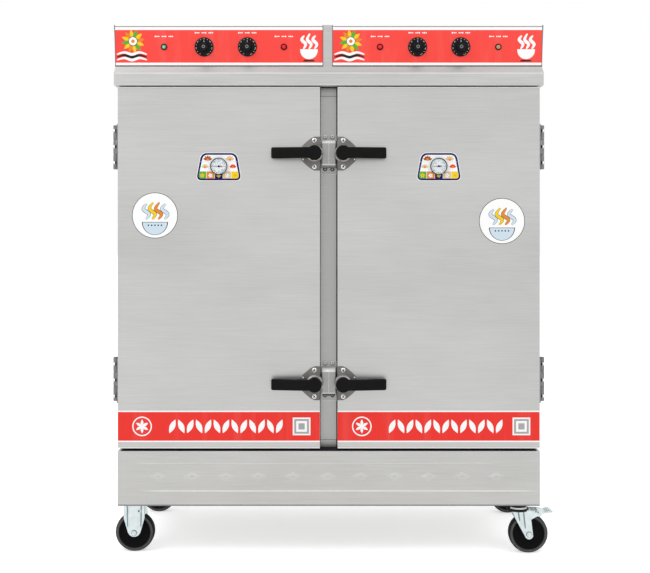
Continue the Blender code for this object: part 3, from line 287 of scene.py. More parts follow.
film_white = printed("film_white", (0.96, 0.965, 0.96))
film_yellow = printed("film_yellow", (0.9, 0.62, 0.02))
film_orange = printed("film_orange", (0.8, 0.26, 0.03))
film_green = printed("film_green", (0.12, 0.42, 0.05))
film_blue = printed("film_blue", (0.009, 0.007, 0.11))
film_pale_blue = printed("film_pale_blue", (0.62, 0.74, 0.84))
film_black = printed("film_black", grey(0.018))
film_brown = printed("film_brown", (0.36, 0.1, 0.04))
film_sand = printed("film_sand", (0.74, 0.56, 0.32))
film_grey = printed("film_grey", grey(0.4))
# Dark grey painted shade for the films' ends and the line under their top edge.
film_edge_shade = printed("film_edge_shade", (0.15, 0.15, 0.155))


# Shapes, each a bmesh in its local frame


def block(low, high, rounding=0.0):
    """A box between two corners, with its edges rounded."""
    bm = bmesh.new()
    low, high = Vector(map(min, low, high)), Vector(map(max, low, high))
    bmesh.ops.create_cube(bm, size=1)
    bmesh.ops.scale(bm, vec=high - low, verts=bm.verts)
    bmesh.ops.translate(bm, vec=(low + high) / 2, verts=bm.verts)
    if rounding > 0:
        bevel(bm, bm.edges[:], rounding, 2)
    return bm


def bevel(bm, edges, offset, segments):
    bmesh.ops.bevel(
        bm, geom=edges, offset=offset, segments=segments, profile=0.5, affect="EDGES", clamp_overlap=True
    )


def turned(points, count=48, closed=False):
    """A body of revolution about Z from pairs of radius and height."""
    bm = bmesh.new()
    rings = []
    for radius, height in points:
        if radius <= 0:
            rings.append([bm.verts.new((0, 0, height))])
            continue
        angles = [2 * math.pi * i / count for i in range(count)]
        rings.append([bm.verts.new((radius * math.cos(a), radius * math.sin(a), height)) for a in angles])
    pairs = list(zip(rings, rings[1:]))
    if closed:
        pairs.append((rings[-1], rings[0]))
    for upper, lower in pairs:
        for i in range(count):
            j = (i + 1) % count
            corners = [ring[k % len(ring)] for ring, k in ((upper, i), (lower, i), (lower, j), (upper, j))]
            corners = [c for k, c in enumerate(corners) if c not in corners[:k]]
            if len(corners) > 2:
                bm.faces.new(corners)
    bmesh.ops.recalc_face_normals(bm, faces=bm.faces)
    return bm


def disc(radius, thickness, rounding=0.0, count=48, base=0.0):
    """A round slab from base up, with its upper edge rounded."""
    top = base + thickness
    shoulder = [(radius - rounding, top), (radius, top - rounding)] if rounding > 0 else [(radius, top)]
    return turned([(0, top), *shoulder, (radius, base), (0, base)], count)


def slab(outline, thickness, rounding=0.0, base=0.0, segments=1):
    """A flat outline with a thickness, its upper edge rounded."""
    bm = bmesh.new()
    lower = [bm.verts.new((x, y, base)) for x, y in outline]
    bm.faces.new(lower)
    grown = bmesh.ops.extrude_face_region(bm, geom=bm.faces[:])
    upper = [v for v in grown["geom"] if isinstance(v, bmesh.types.BMVert)]
    bmesh.ops.translate(bm, vec=(0, 0, thickness), verts=upper)
    bmesh.ops.recalc_face_normals(bm, faces=bm.faces)
    if rounding > 0:
        chosen = set(upper)
        rim = [e for e in bm.edges if e.verts[0] in chosen and e.verts[1] in chosen]
        bevel(bm, rim, rounding, segments)
    return bm


def lofted(loops):
    """A closed skin over loops of as many points each."""
    bm = bmesh.new()
    rings = [[bm.verts.new(point) for point in loop] for loop in loops]
    bm.faces.new(rings[0])
    bm.faces.new(rings[-1])
    for first, second in zip(rings, rings[1:]):
        for i in range(len(first)):
            j = (i + 1) % len(first)
            bm.faces.new((first[i], first[j], second[j], second[i]))
    bmesh.ops.recalc_face_normals(bm, faces=bm.faces)
    return bm


def bar(start, end, radius, count=24):
    """A plain round bar between two points."""
    bm = turned([(0, 1), (radius, 1), (radius, 0), (0, 0)], count)
    run = Vector(end) - Vector(start)
    stretch = Matrix.Diagonal((1, 1, run.length, 1))
    turn = Vector((0, 0, 1)).rotation_difference(run).to_matrix().to_4x4()
    bmesh.ops.transform(bm, matrix=Matrix.Translation(start) @ turn @ stretch, verts=bm.verts)
    return bm


def lettering(text, size, depth):
    """Raised figures, centred."""
    curve = bpy.data.curves.new("figures", "FONT")
    curve.body = text
    curve.size = size
    curve.extrude = depth / 2
    curve.align_x = curve.align_y = "CENTER"
    curve.resolution_u = 2
    obj = bpy.data.objects.new("figures", curve)
    bpy.context.scene.collection.objects.link(obj)
    bpy.context.view_layer.update()
    evaluated = obj.evaluated_get(bpy.context.evaluated_depsgraph_get())
    mesh = bpy.data.meshes.new_from_object(evaluated)
    bpy.data.objects.remove(obj)
    bm = bmesh.new()
    bm.from_mesh(mesh)
    bpy.data.meshes.remove(mesh)
    bmesh.ops.translate(bm, vec=(0, 0, depth / 2), verts=bm.verts)
    return bm


def oblong(left, low, right, high):
    return [(left, low), (right, low), (right, high), (left, high)]


def mirrored(line):
    """A line of points followed by its mirror image across the X axis."""
    return line + [(x, -y) for x, y in line[::-1]]


def arc(centre, radius, start_deg, end_deg, steps=12):
    """Points on a part of a circle, angles in degrees."""
    angles = [math.radians(start_deg + (end_deg - start_deg) * i / steps) for i in range(steps + 1)]
    return [(centre[0] + radius * math.cos(a), centre[1] + radius * math.sin(a)) for a in angles]


def rounded_outline(corners, radius, steps=5):
    """A convex outline, counter-clockwise, with its corners rounded by one radius or by one for each."""
    points = []
    count = len(corners)
    radii = radius if isinstance(radius, tuple) else (radius,) * count
    for i, (corner, radius) in enumerate(zip(corners, radii)):
        corner = Vector(corner)
        back = (Vector(corners[i - 1]) - corner).normalized()
        ahead = (Vector(corners[(i + 1) % count]) - corner).normalized()
        half = back.angle(ahead) / 2
        centre = corner + (back + ahead).normalized() * radius / math.sin(half)
        start = corner + back * radius / math.tan(half) - centre
        end = corner + ahead * radius / math.tan(half) - centre
        points += [tuple(centre + start.slerp(end, step / steps) * radius) for step in range(steps + 1)]
    return points


def curve_through(points, steps=6):
    """A smooth line through points of a plane, ends included."""
    found = []
    last = len(points) - 1
    for i in range(last):
        before, start, end, after = (Vector(points[max(0, min(last, i + k))]) for k in (-1, 0, 1, 2))
        for step in range(steps):
            t = step / steps
            square = (2 * before - 5 * start + 4 * end - after) * t**2
            cube = (3 * start - before - 3 * end + after) * t**3
            found.append(tuple((2 * start + (end - before) * t + square + cube) / 2))
    return found + [tuple(points[-1])]


def ribbon(points, width):
    """The outline of a band along a smooth line."""
    line = [Vector(point) for point in curve_through(points)]
    left, right = [], []
    for i, point in enumerate(line):
        run = (line[min(i + 1, len(line) - 1)] - line[max(i - 1, 0)]).normalized()
        share = i / (len(line) - 1)
        half = width / 2 * (0.35 + 0.65 * math.sin(math.pi * share))
        left.append(tuple(point + Vector((-run.y, run.x)) * half))
        right.append(tuple(point - Vector((-run.y, run.x)) * half))
    return right + left[::-1]


def leaf(length, width, base=0.0):
    """A pointed oval along Y, from its base up."""
    steps = 8
    side = [(width / 2 * math.sin(math.pi * i / steps), base + length * i / steps) for i in range(1, steps)]
    return [(0, base)] + side + [(0, base + length)] + [(-x, y) for x, y in side[::-1]]


# Places


def spot(x, y, z=0.0):
    return Matrix.Translation((x, y, z))


def spun(degrees):
    return Matrix.Rotation(math.radians(degrees), 4, "Z")


def facing_front(x, z, y=door_y, lean=0.0):
    """A local frame on a surface that faces the front, or leans forward by an angle."""
    return spot(x, y, z) @ Matrix.Rotation(math.radians(90) + lean, 4, "X")


def from_photo(px, py):
    """X and Z in the doors' plane of a point of the photograph."""
    return middle_x + (px - photo_middle) / pixels_per_metre, (photo_floor - py) / pixels_per_metre


def pivot(joint):
    return Vector(joints[joint]["pos_m"])


def middle_of(node):
    low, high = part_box(node)
    return (low + high) / 2


def piece(name, body, parts, slot, *replaces):
    """One object from parts, each a shape, its place and its material, that rides on a body."""
    whole = bmesh.new()
    materials = []
    for shape, place, material in parts:
        if material not in materials:
            materials.append(material)
        bmesh.ops.transform(shape, matrix=place, verts=shape.verts)
        if place.determinant() < 0:
            bmesh.ops.reverse_faces(shape, faces=shape.faces)
        for face in shape.faces:
            face.material_index = materials.index(material)
        mesh = bpy.data.meshes.new("part")
        shape.to_mesh(mesh)
        shape.free()
        whole.from_mesh(mesh)
        bpy.data.meshes.remove(mesh)
    mesh = bpy.data.meshes.new(name)
    whole.to_mesh(mesh)
    whole.free()
    for material in materials:
        mesh.materials.append(material)
    mesh.shade_smooth()
    mesh.set_sharp_from_angle(angle=math.radians(35))
    obj = bpy.data.objects.new(name, mesh)
    bpy.context.scene.collection.objects.link(obj)
    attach(obj, body)
    if replaces:
        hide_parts(*replaces)


def screw(place, radius, height=0.0016):
    """A domed screw head with a cross recess, drawn as a raised cross of painted shade."""
    dome = [(0, height), (radius * 0.55, height * 0.92), (radius * 0.85, height * 0.6), (radius, 0), (0, 0)]
    cross = radius * 0.62
    arm = radius * 0.16
    top = height * 1.02
    return [
        (turned(dome, 24), place, bright_screw),
        (block((-cross, -arm, 0), (cross, arm, top)), place, painted_shade_black),
        (block((-arm, -cross, 0), (arm, cross, top)), place, painted_shade_black),
    ]


def rivet(place, radius, material=bright_screw):
    height = radius * 0.45
    dome = [(0, height), (radius * 0.5, height * 0.88), (radius * 0.86, height * 0.5), (radius, 0), (0, 0)]
    return [(turned(dome, 20), place, material)]


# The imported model's own pieces


def dress(material, *names):
    for name in names:
        for slot in nodes[name].material_slots:
            slot.material = material


def dress_nodes():
    dress(cap_steel, "top_cap", "control_box")
    dress(plinth_steel, "base_plinth", "outer_casing")
    dress(post_steel_shaded, "front_frame")
    dress(strike_steel_shaded, "strike_upper", "strike_lower")
    dress(black_plastic, "cable_gland")
    for side in sides:
        dress(steel, f"door_skin_{side}")
        dress(inner_steel, f"door_liner_{side}", f"chamber_liner_{side}")
        dress(seal_silicone, f"door_gasket_{side}")
        dress(heater_metal, f"heater_{side}")
        dress(switch_plastic, f"switch_bracket_{side}")
    for row in ("front", "rear"):
        dress(zinc, f"rigid_caster_{row}", f"swivel_plate_{row}", f"swivel_fork_{row}")


# Control panel


box_low, box_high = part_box("control_box")
fascia_tilt = math.radians(6)
fascia_top = Vector((middle_x, box_low.y, box_high.z))
fascia_frame = facing_front(middle_x, box_high.z, box_low.y, fascia_tilt)
fascia_height = (box_high.z - box_low.z) / math.cos(fascia_tilt)
fascia_half = (box_high.x - box_low.x) / 2
fascia_flare = 0.004
film_sheet = 0.0003
film_layer = 0.00012
film_overhang = 0.0022
film_foot = 0.0008 - fascia_height
motif_y = -0.062
knob_top_value = 120
knob_marks = 13
lamp_lenses = {
    "left_green_lamp": green_lens,
    "left_red_lamp": red_lens,
    "right_red_lamp": red_lens,
    "right_amber_lamp": amber_lens,
}


def fascia_x(px):
    return (px - photo_middle) / pixels_per_metre


def fascia_band(left, right, top, bottom):
    """The corners of a band across the fascia; an outer end follows the box's slanted side."""
    corners = []
    for x, y in oblong(left, bottom, right, top):
        limit = fascia_half + film_overhang + fascia_flare * y / fascia_height
        corners.append((max(-limit, min(limit, x)), y))
    return corners


def sun_and_waves(place):
    """A generic picture for a film's outer end: a rosette of leaves over three waves."""
    level = place @ spot(0, 0, film_sheet + film_layer)
    rosette = level @ spot(0.004, 0.013)
    parts = []
    for i in range(12):
        petal = slab(leaf(0.03, 0.0115, 0.006), film_layer, base=film_layer * (i % 2))
        colour = (film_yellow, film_orange, film_yellow, film_green)[i % 4]
        parts.append((petal, rosette @ spun(i * 30 + 10), colour))
    for radius, colour in ((0.014, film_black), (0.0124, film_white), (0.0054, film_orange)):
        parts.append((disc(radius, film_layer, count=40, base=film_layer * 2), rosette, colour))
        rosette = rosette @ spot(0, 0, film_layer)
    for i, colour in enumerate((film_white, film_black, film_white)):
        y = -0.0265 - i * 0.0085
        line = [(-0.046, y), (-0.023, y + 0.006), (0, y), (0.023, y + 0.006), (0.046, y)]
        parts.append((slab(ribbon(line, 0.0085), film_layer), level, colour))
    return parts


def caption_marks(x, y):
    """A short row of plain strokes where a caption would be."""
    count = 11
    pitch = 0.0052
    place = fascia_frame @ spot(0, y, film_sheet + film_layer)
    parts = []
    for i in range(count):
        if i % 4 == 3:
            continue
        left = x + (i - (count - 1) / 2) * pitch
        tall = 0.0016 if i % 3 else 0.0022
        mark = rounded_outline(oblong(left - 0.002, -tall, left + 0.002, tall), 0.0007, 2)
        parts.append((slab(mark, film_layer), place, film_white))
    return parts


def steam_sign(place):
    """A generic sign for a film's inner end: three curls of steam over a dish."""
    level = place @ spot(0, 0, film_sheet + film_layer)
    parts = []
    for i, x in enumerate((-0.017, 0.0, 0.017)):
        high = 0.036 - 0.006 * abs(i - 1)
        line = [(x, -0.01), (x + 0.007, 0.004), (x - 0.005, 0.018), (x + 0.003, high)]
        parts.append((slab(ribbon(line, 0.01), film_layer), level, film_white))
    dish = arc((0, -0.014), 0.027, 180, 360) + [(0.027, -0.011), (-0.027, -0.011)]
    parts.append((slab(dish, film_layer), level, film_white))
    foot = [(-0.018, -0.048), (0.018, -0.048), (0.015, -0.043), (-0.015, -0.043)]
    parts.append((slab(foot, film_layer), level, film_black))
    return parts


def make_films():
    """The fascia's printed films: white sheets with a red field, edge lines and a black foot line of
    painted shade, generic motifs and strokes, and a dark bead of painted shadow below them.
    """
    films = {"left": (115, 323.3, 132, 309), "right": (332.2, 542.3, 349.5, 526)}
    for name, ends in films.items():
        left, right, first, last = map(fascia_x, ends)
        # Painted shade: the black band along the foot, where the box meets the cap, and the dark lines
        # under the top edge and at both ends.
        bands = [
            (left, right, -0.0004, film_foot, 0, film_white),
            (left, right, -0.0151, film_foot + 0.0098, 1, panel_red),
            (left, right, film_foot + 0.0016, film_foot, 1, film_black),
            (left, right, -0.0038, -0.006, 1, film_edge_shade),
        ]
        for x in (left + 0.001, right - 0.001):
            bands.append((x - 0.0011, x + 0.0011, -0.0004, film_foot, 2, film_edge_shade))
        parts = []
        for start, end, top, bottom, order, colour in bands:
            height = (0, film_sheet, film_sheet + film_layer)[order]
            band = slab(fascia_band(start, end, top, bottom), film_layer if order else film_sheet)
            parts.append((band, fascia_frame @ spot(0, 0, height), colour))
        parts += sun_and_waves(fascia_frame @ spot(first, motif_y))
        parts += steam_sign(fascia_frame @ spot(last, motif_y))
        for knob in ("thermostat", "timer"):
            parts += caption_marks(pivot(f"{name}_{knob}_knob_turn").x - middle_x, -0.0235)
        for lamp in [lamp for lamp in lamp_lenses if lamp.startswith(name)]:
            parts += caption_marks(middle_of(lamp).x - middle_x, -0.0345)
        # Painted shadow: a dark bead along the films' foot.
        bead_ends = [fascia_frame @ Vector((x, -fascia_height, 0.0004)) for x in (left, right)]
        parts.append((bar(*bead_ends, 0.0016, 12), in_place, painted_shade_black))
        piece(f"fascia_film_{name}", "cabinet", parts, "control_box")


def make_knob(name):
    """A dial knob: a numbered skirt, a fluted grip and a bright ring round its screw cap."""
    at = pivot(name + "_turn")
    place = facing_front(at.x, at.z, at.y, fascia_tilt)
    skirt = [
        (0.0135, 0.0042),
        (0.0195, 0.0041),
        (0.0278, 0.003),
        (0.0288, 0.0022),
        (0.0289, 0.001),
        (0.0284, 0.0002),
        (0.003, 0.0002),
    ]
    parts = [(turned([(0, 0.0042)] + skirt + [(0.003, -0.0135), (0, -0.0135)], 72), place, knob_plastic)]
    flute_steps = 120
    loops = []
    for height, scale in ((0.0036, 1.0), (0.0165, 0.93), (0.0185, 0.915), (0.0196, 0.86), (0.0198, 0.78)):
        ring = []
        for i in range(flute_steps):
            angle = 2 * math.pi * i / flute_steps
            radius = (0.0142 - 0.0004 * (i % 4 in (0, 1))) * scale
            ring.append((radius * math.cos(angle), radius * math.sin(angle), height))
        loops.append(ring)
    parts.append((lofted(loops), place, knob_plastic))
    ring = oblong(0.003, 0.0194, 0.005, 0.02)
    parts.append((turned(ring, 32, closed=True), place, hinge_grey))
    # Painted shade in the screw cap's recess.
    parts.append((disc(0.0028, 0.0003, 0, 24, 0.0196), place, painted_shade_black))
    piece(name + "_body", name, parts, name, name)
    marks = []
    for i in range(knob_marks):
        share = i / (knob_marks - 1)
        spoke = place @ spun(150 - 300 * share)
        if i % 2 == 0:
            figures = lettering(str(round(knob_top_value * share)), 0.0056, 0.0002)
            marks.append((figures, spoke @ spot(0, 0.0236, 0.0034), number_white))
        else:
            marks.append((disc(0.0009, 0.0003, 0, 16), spoke @ spot(0, 0.024, 0.0034), number_white))
    pointer = [(-0.0008, 0.0135), (0.0008, 0.0135), (0.0006, 0.0195), (-0.0006, 0.0195)]
    marks.append((slab(pointer, 0.0003), place @ spot(0, 0, 0.004), number_white))
    piece(name + "_numbers", name, marks, name)


def make_lamp(name, material, core=None):
    """A signal lamp: a dark bezel with a bead, and a domed lens."""
    drop = (fascia_top.z - pivot("left_timer_knob_turn").z) / math.cos(fascia_tilt)
    front = fascia_top + Vector((0, math.sin(fascia_tilt), -math.cos(fascia_tilt))) * drop
    place = facing_front(middle_of(name).x, front.z, front.y, fascia_tilt)
    ring = [
        (0.0064, 0.003),
        (0.0072, 0.0033),
        (0.009, 0.0031),
        (0.0097, 0.0022),
        (0.0097, 0.0004),
        (0.005, 0.0004),
        (0.005, -0.0215),
        (0.0, -0.0215),
    ]
    dome = [(0, 0.0064), (0.0026, 0.0061), (0.0046, 0.0052)]
    dome += [(0.006, 0.0038), (0.0064, 0.0026), (0, 0.0024)]
    parts = [(turned([(0, 0.003)] + ring, 40), place, lamp_bezel), (turned(dome, 36), place, material)]
    if core:
        parts.append((disc(0.003, 0.0004, 0.0001, 24, 0.006), place, core))
    piece(name + "_lens", "cabinet", parts, name, name)


def make_cap_crease():
    """A line of painted highlight where the cap's shoulder turns into its band, and the band's folded lower
    hem.
    """
    low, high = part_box("top_cap")
    x, z = from_photo(photo_middle, 73.6)
    half = (high.x - low.x) / 2 - 0.003
    line = slab(oblong(-half, -0.0008, half, 0.0008), 0.0004, 0.0002)
    hem_low = (low.x + 0.002, low.y + 0.0002, low.z - 0.0011)
    hem_high = (high.x - 0.002, low.y + 0.002, low.z + 0.0008)
    hem = block(hem_low, hem_high, 0.0003)
    parts = [(line, facing_front(x, z, low.y), highlight_sheet), (hem, in_place, cap_steel)]
    piece("cap_crease", "cabinet", parts, "top_cap")


def make_panel():
    make_films()
    make_cap_crease()
    for side in sides:
        make_knob(f"{side}_thermostat_knob")
        make_knob(f"{side}_timer_knob")
    for name, material in lamp_lenses.items():
        make_lamp(name, material, pale_lens if material == green_lens else None)


# Doors


hinge_inner = -0.0142
hinge_outer = -0.0107
hinge_barrel = 0.0084
ink = 0.0001
sticker_lift = 0.00005


def inked(outline, place, colour, layer=0):
    """A printed shape; a higher layer lies on a lower one."""
    return (slab(outline, ink, base=ink * layer), place, colour)


def make_dial(side):
    """The dial thermometer's case, face, marks, glass and needle."""
    at = pivot(f"{side}_needle_turn")
    place = facing_front(at.x, at.z, at.y) @ spot(0, 0, -0.0037)
    door = f"{side}_door"
    case = [
        (0.0238, 0.0078),
        (0.0246, 0.009),
        (0.0256, 0.009),
        (0.026, 0.008),
        (0.026, 0.0004),
        (0.003, 0.0004),
        (0.003, -0.09),
        (0.0, -0.0946),
    ]
    parts = [(turned([(0, 0.0036), (0.0238, 0.0036)] + case, 72), place, bezel_metal)]
    parts.append((disc(0.0237, 0.0003, 0, 64, 0.0037), place, dial_enamel))
    for i in range(41):
        if 15 <= i <= 25 and i % 5:
            continue
        reach, half = (0.0022, 0.00028) if i % 5 else (0.004, 0.0005)
        mark = slab(oblong(-half, 0.0212 - reach, half, 0.0212), ink, base=0.004)
        parts.append((mark, place @ spun(180 - i * 9), dial_mark))
    for i in range(7):
        angle = math.radians(225 - i * 45)
        at = spot(0.0142 * math.cos(angle), 0.0142 * math.sin(angle), 0.004)
        parts.append((lettering(str(i * 25), 0.004, ink), place @ at, dial_mark))
    case_node = f"thermometer_case_{side}"
    piece(f"thermometer_dial_{side}", door, parts, case_node, case_node)
    cover = [(0, 0.0089), (0.015, 0.0087), (0.0236, 0.0082), (0.0236, 0.0078), (0.015, 0.0083), (0, 0.0085)]
    piece(f"thermometer_glass_{side}", door, [(turned(cover, 64), place, glass)], case_node)
    pointer = [(-0.0165, -0.00035), (0, -0.0008), (0, 0.0008), (-0.0165, 0.00035)]
    tail = [(0, -0.0016), (0.0092, -0.002), (0.0092, 0.002), (0, 0.0016)]
    needle = [
        (slab(pointer, 0.0004, base=0.0051), place, needle_red),
        (slab(tail, 0.0005, base=0.0051), place, needle_red),
        (disc(0.003, 0.0012, 0.0004, 32, 0.005), place, painted_shade_black),
        (bar((0, 0, 0.0016), (0, 0, 0.0052), 0.0009, 16), place, bezel_metal),
    ]
    needle_node = f"thermometer_needle_{side}"
    piece(f"thermometer_pointer_{side}", f"{side}_needle", needle, needle_node, needle_node)


def make_dial_sticker(side, left, right, top_left, top_right):
    """A printed label round a dial: a blue border, leaf rosettes and coloured cells with flowers."""
    lower_row, upper_row = 180.3, 153.0
    photo_corners = ((left, lower_row), (right, lower_row), (top_right, upper_row), (top_left, upper_row))
    centre = pivot(f"{side}_needle_turn")
    corners = [(x - centre.x, z - centre.z) for x, z in (from_photo(*corner) for corner in photo_corners)]
    place = facing_front(centre.x, centre.z) @ spot(0, 0, sticker_lift)
    border = 0.0056

    def inset(amount):
        left_low, right_low, right_high, left_high = corners
        return [
            (left_low[0] + amount, left_low[1] + amount),
            (right_low[0] - amount, right_low[1] + amount),
            (right_high[0] - amount * 1.1, right_high[1] - amount),
            (left_high[0] + amount * 1.1, left_high[1] - amount),
        ]

    def rounded(amount):
        small, large = 0.012 - amount / 2, 0.02 - amount
        return rounded_outline(inset(amount), (small, small, large, large))

    parts = [
        inked(rounded(-0.0016), place, film_white),
        inked(rounded(0), place, film_blue, 1),
        (slab(rounded(border), 0.00018, base=0.00018), place, film_white),
    ]
    level = place @ spot(0, 0, 0.00036)
    low = corners[0][1] + border
    start = corners[0][0] + border
    width = corners[1][0] - border - start
    tall = 0.0215
    lean = tall * 0.19
    for i, colour in enumerate((film_green, film_orange, film_blue, film_sand, film_yellow)):
        left_x = start + width * i / 5 + 0.0006
        right_x = start + width * (i + 1) / 5 - 0.0006
        top_left_x = left_x + (lean if i == 0 else 0)
        top_right_x = right_x - (lean if i == 4 else 0)
        cell = [(left_x, low), (right_x, low), (top_right_x, low + tall), (top_left_x, low + tall)]
        radii = (0.007 if i == 0 else 0.001, 0.007 if i == 4 else 0.001, 0.001, 0.001)
        parts.append(inked(rounded_outline(cell, radii, 4), level, colour))
        petal_colour = film_white if i % 2 else film_yellow
        for turn in range(0, 360, 72):
            at = level @ spot((left_x + right_x) / 2, low + 0.0095) @ spun(turn + 20 * i)
            parts.append(inked(leaf(0.0074, 0.005), at, petal_colour, 1))
    signs = (
        (-0.034, 0.0265, 1.0, film_brown),
        (0.034, 0.0265, 1.0, film_sand),
        (-0.0425, 0.002, 0.8, film_sand),
        (0.043, 0.002, 0.8, band_red),
    )
    for x, y, size, colour in signs:
        for i in range(5):
            at = level @ spot(x, y - 0.0075 * size) @ spun(-70 + 35 * i)
            parts.append((slab(leaf(0.015 * size, 0.007 * size), ink, base=0.00003 * i), at, colour))
        at = level @ spot(x, y - 0.006 * size)
        parts.append((disc(0.004 * size, ink, 0, 20, 0.0002), at, film_orange))
    for x in (-0.056, 0.0265):
        parts.append(inked(oblong(x, 0.013, x + 0.0295, 0.0145), level, film_pale_blue))
    piece(f"dial_sticker_{side}", f"{side}_door", parts, f"door_skin_{side}")


def make_hems(side):
    """The folded upper and lower hems of a door's skin, near-white as a painted highlight."""
    low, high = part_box(f"door_skin_{side}")
    parts = []
    for start, end in ((high.z - 0.003, high.z + 0.0002), (low.z - 0.0012, low.z + 0.001)):
        hem = block((low.x + 0.001, door_y + 0.0002, start), (high.x - 0.001, door_y + 0.0022, end), 0.0003)
        parts.append((hem, in_place, hem_highlight))
    piece(f"door_hems_{side}", f"{side}_door", parts, f"door_skin_{side}")


def make_round_sticker(side, px, py):
    """A round printed label: a dark rim on white, steam ribbons over a dish, and a row of dots."""
    x, z = from_photo(px, py)
    place = facing_front(x, z) @ spot(0, 0, sticker_lift)
    rim = arc((0, 0), 0.07, 0, 360, 96)[:-1]
    parts = [
        (slab(rim, 0.00018), place, film_black),
        (disc(0.0683, 0.00018, 0, 96, 0.00018), place, film_white),
    ]
    level = place @ spot(0, 0, 0.00036)
    colours = (film_pale_blue, film_yellow, film_orange, film_pale_blue)
    for i, (start, colour) in enumerate(zip((-0.028, -0.009, 0.01, 0.029), colours)):
        high = 0.042 - 0.004 * abs(i - 1.5)
        line = [(start, -0.012), (start + 0.01, 0.004), (start - 0.008, 0.02), (start + 0.004, high)]
        parts.append(inked(ribbon(line, 0.012), level, film_black))
        parts.append(inked(ribbon(line, 0.0095), level, colour, 1))
    parts.append(inked(arc((0, -0.02), 0.04, 180, 360, 24), level, film_black))
    parts.append(inked(arc((0, -0.0215), 0.0372, 180, 360, 24), level, film_pale_blue, 1))
    for i in range(5):
        at = level @ spot(-0.02 + 0.01 * i, -0.03)
        parts.append((disc(0.0024, ink, 0, 20, 0.0002), at, film_black))
    piece(f"round_sticker_{side}", f"{side}_door", parts, f"door_skin_{side}")


def make_band(side, start, end):
    """The red band low on a door, with white edges and a plain row of grain shapes."""
    left, top = from_photo(start, 410.6)
    right, bottom = from_photo(end, 442.0)
    x, z = (left + right) / 2, (top + bottom) / 2
    place = facing_front(x, z) @ spot(0, 0, sticker_lift)
    half = (right - left) / 2
    height = (top - bottom) / 2
    field = height - 0.0042
    parts = [
        (slab(oblong(-half, -height, half, height), 0.0002), place, film_white),
        (slab(oblong(-half, -field, half, field), 0.0002, base=0.0002), place, band_red),
    ]
    level = place @ spot(0, 0, 0.0004)
    for i in range(13):
        at = level @ spot(-half * 0.46 + half * 1.06 * i / 12, 0) @ spun(24 if i % 2 else -24)
        parts.append(inked(leaf(0.046, 0.017, -0.023), at, film_white))
    ring = level @ spot(-half * 0.76, 0)
    parts.append((disc(0.03, ink, 0, 48), ring, film_white))
    parts.append((disc(0.0262, ink, 0, 48, ink), ring, band_red))
    for turn in range(0, 360, 60):
        parts.append(inked(leaf(0.0215, 0.0085), ring @ spun(turn), film_white, 2))
    square = level @ spot(half * 0.82, 0)
    for i, size in enumerate((0.027, 0.0225, 0.0165, 0.0095)):
        outline = oblong(-size, -size, size, size)
        parts.append((slab(outline, 0.00008, base=0.00008 * i), square, film_grey if i % 2 else film_white))
    piece(f"door_band_{side}", f"{side}_door", parts, f"door_skin_{side}")


def lever_loops(way):
    """Rounded sections along a latch's lever, which sweeps back towards the door."""
    length = 0.131
    loops = []
    places = [(x, 0) for x in (0, 0.012, 0.026, 0.04, 0.055, 0.07, 0.085, 0.1, 0.114, 0.124)]
    for x, inset in places + [(0.1275, 0.0004), (0.1298, 0.0015), (0.1308, 0.003)]:
        share = max(x / length - 0.2, 0) / 0.8
        ease = share * share * (3 - 2 * share)
        half_height = (0.0332 + 0.001 * ease) / 2 - inset
        top = 0.047 - 0.014 * ease
        half_depth = 0.0065 - inset
        centre = top - 0.0065
        corner = 0.0042
        ring = []
        for cx, cy, start in ((1, 1, 0), (-1, 1, 90), (-1, -1, 180), (1, -1, 270)):
            for step in range(5):
                angle = math.radians(start + step * 22.5)
                y = cx * (half_height - corner) + corner * math.cos(angle)
                z = cy * (half_depth - corner) + corner * math.sin(angle)
                ring.append((way * x, y, centre + z))
        loops.append(ring)
    return loops


def make_latch(side, row):
    """A latch: its plate with screws and rivets, its turret, its handle and its steel tongue."""
    way = sides[side]
    at = pivot(f"{side}_{row}_handle_turn")
    place = facing_front(at.x, at.z, door_y - 0.0003)
    upper = [(-0.0167, 0.0515), (0.0, 0.0515), (0.012, 0.0455), (0.0205, 0.0388)]
    upper += [(0.03, 0.0305), (0.0382, 0.0226), (0.0402, 0.016), (0.0409, 0.008)]
    outline = upper + [(0.041, 0.0)] + [(x, -y) for x, y in upper[::-1]]
    outline = [(way * x, y) for x, y in outline]
    turret = [(0, 0.018), (0.0225, 0.018), (0.0236, 0.017), (0.0252, 0.01)]
    turret += [(0.0264, 0.0052), (0.0266, 0.0035), (0, 0.0035)]
    parts = [
        (slab(outline, 0.004, 0.0008, segments=2), place, cast_grey),
        (turned(turret, 64), place, turret_metal),
    ]
    for y in (-0.0405, 0.0405):
        parts += screw(place @ spot(way * 0.0004, y, 0.0039) @ spun(20 if y > 0 else 50), 0.0072, 0.0022)
    for y in (-0.0178, 0.0178):
        parts += rivet(place @ spot(way * 0.035, y, 0.0039), 0.0026)
    name = f"{side}_{row}"
    base = f"latch_base_{name}"
    piece(f"latch_plate_{name}", f"{side}_door", parts, base, base)
    head = [
        (0, 0.048),
        (0.011, 0.048),
        (0.0165, 0.0478),
        (0.0205, 0.0468),
        (0.022, 0.045),
        (0.0226, 0.0425),
        (0.0226, 0.0205),
        (0.022, 0.019),
        (0, 0.0188),
    ]
    handle = f"latch_handle_{name}"
    grip = [
        (turned(head, 72), place, black_plastic),
        (lofted(lever_loops(way)), place, black_plastic),
        (bar((0, 0, 0.019), (0, 0, -0.022), 0.0059, 32), place, turret_metal),
        (block((0, -0.0088, -0.0219), (-way * 0.0213, 0.0088, -0.0161), 0.001), place, turret_metal),
    ]
    piece(f"latch_grip_{name}", f"{side}_{row}_handle", grip, handle, handle)


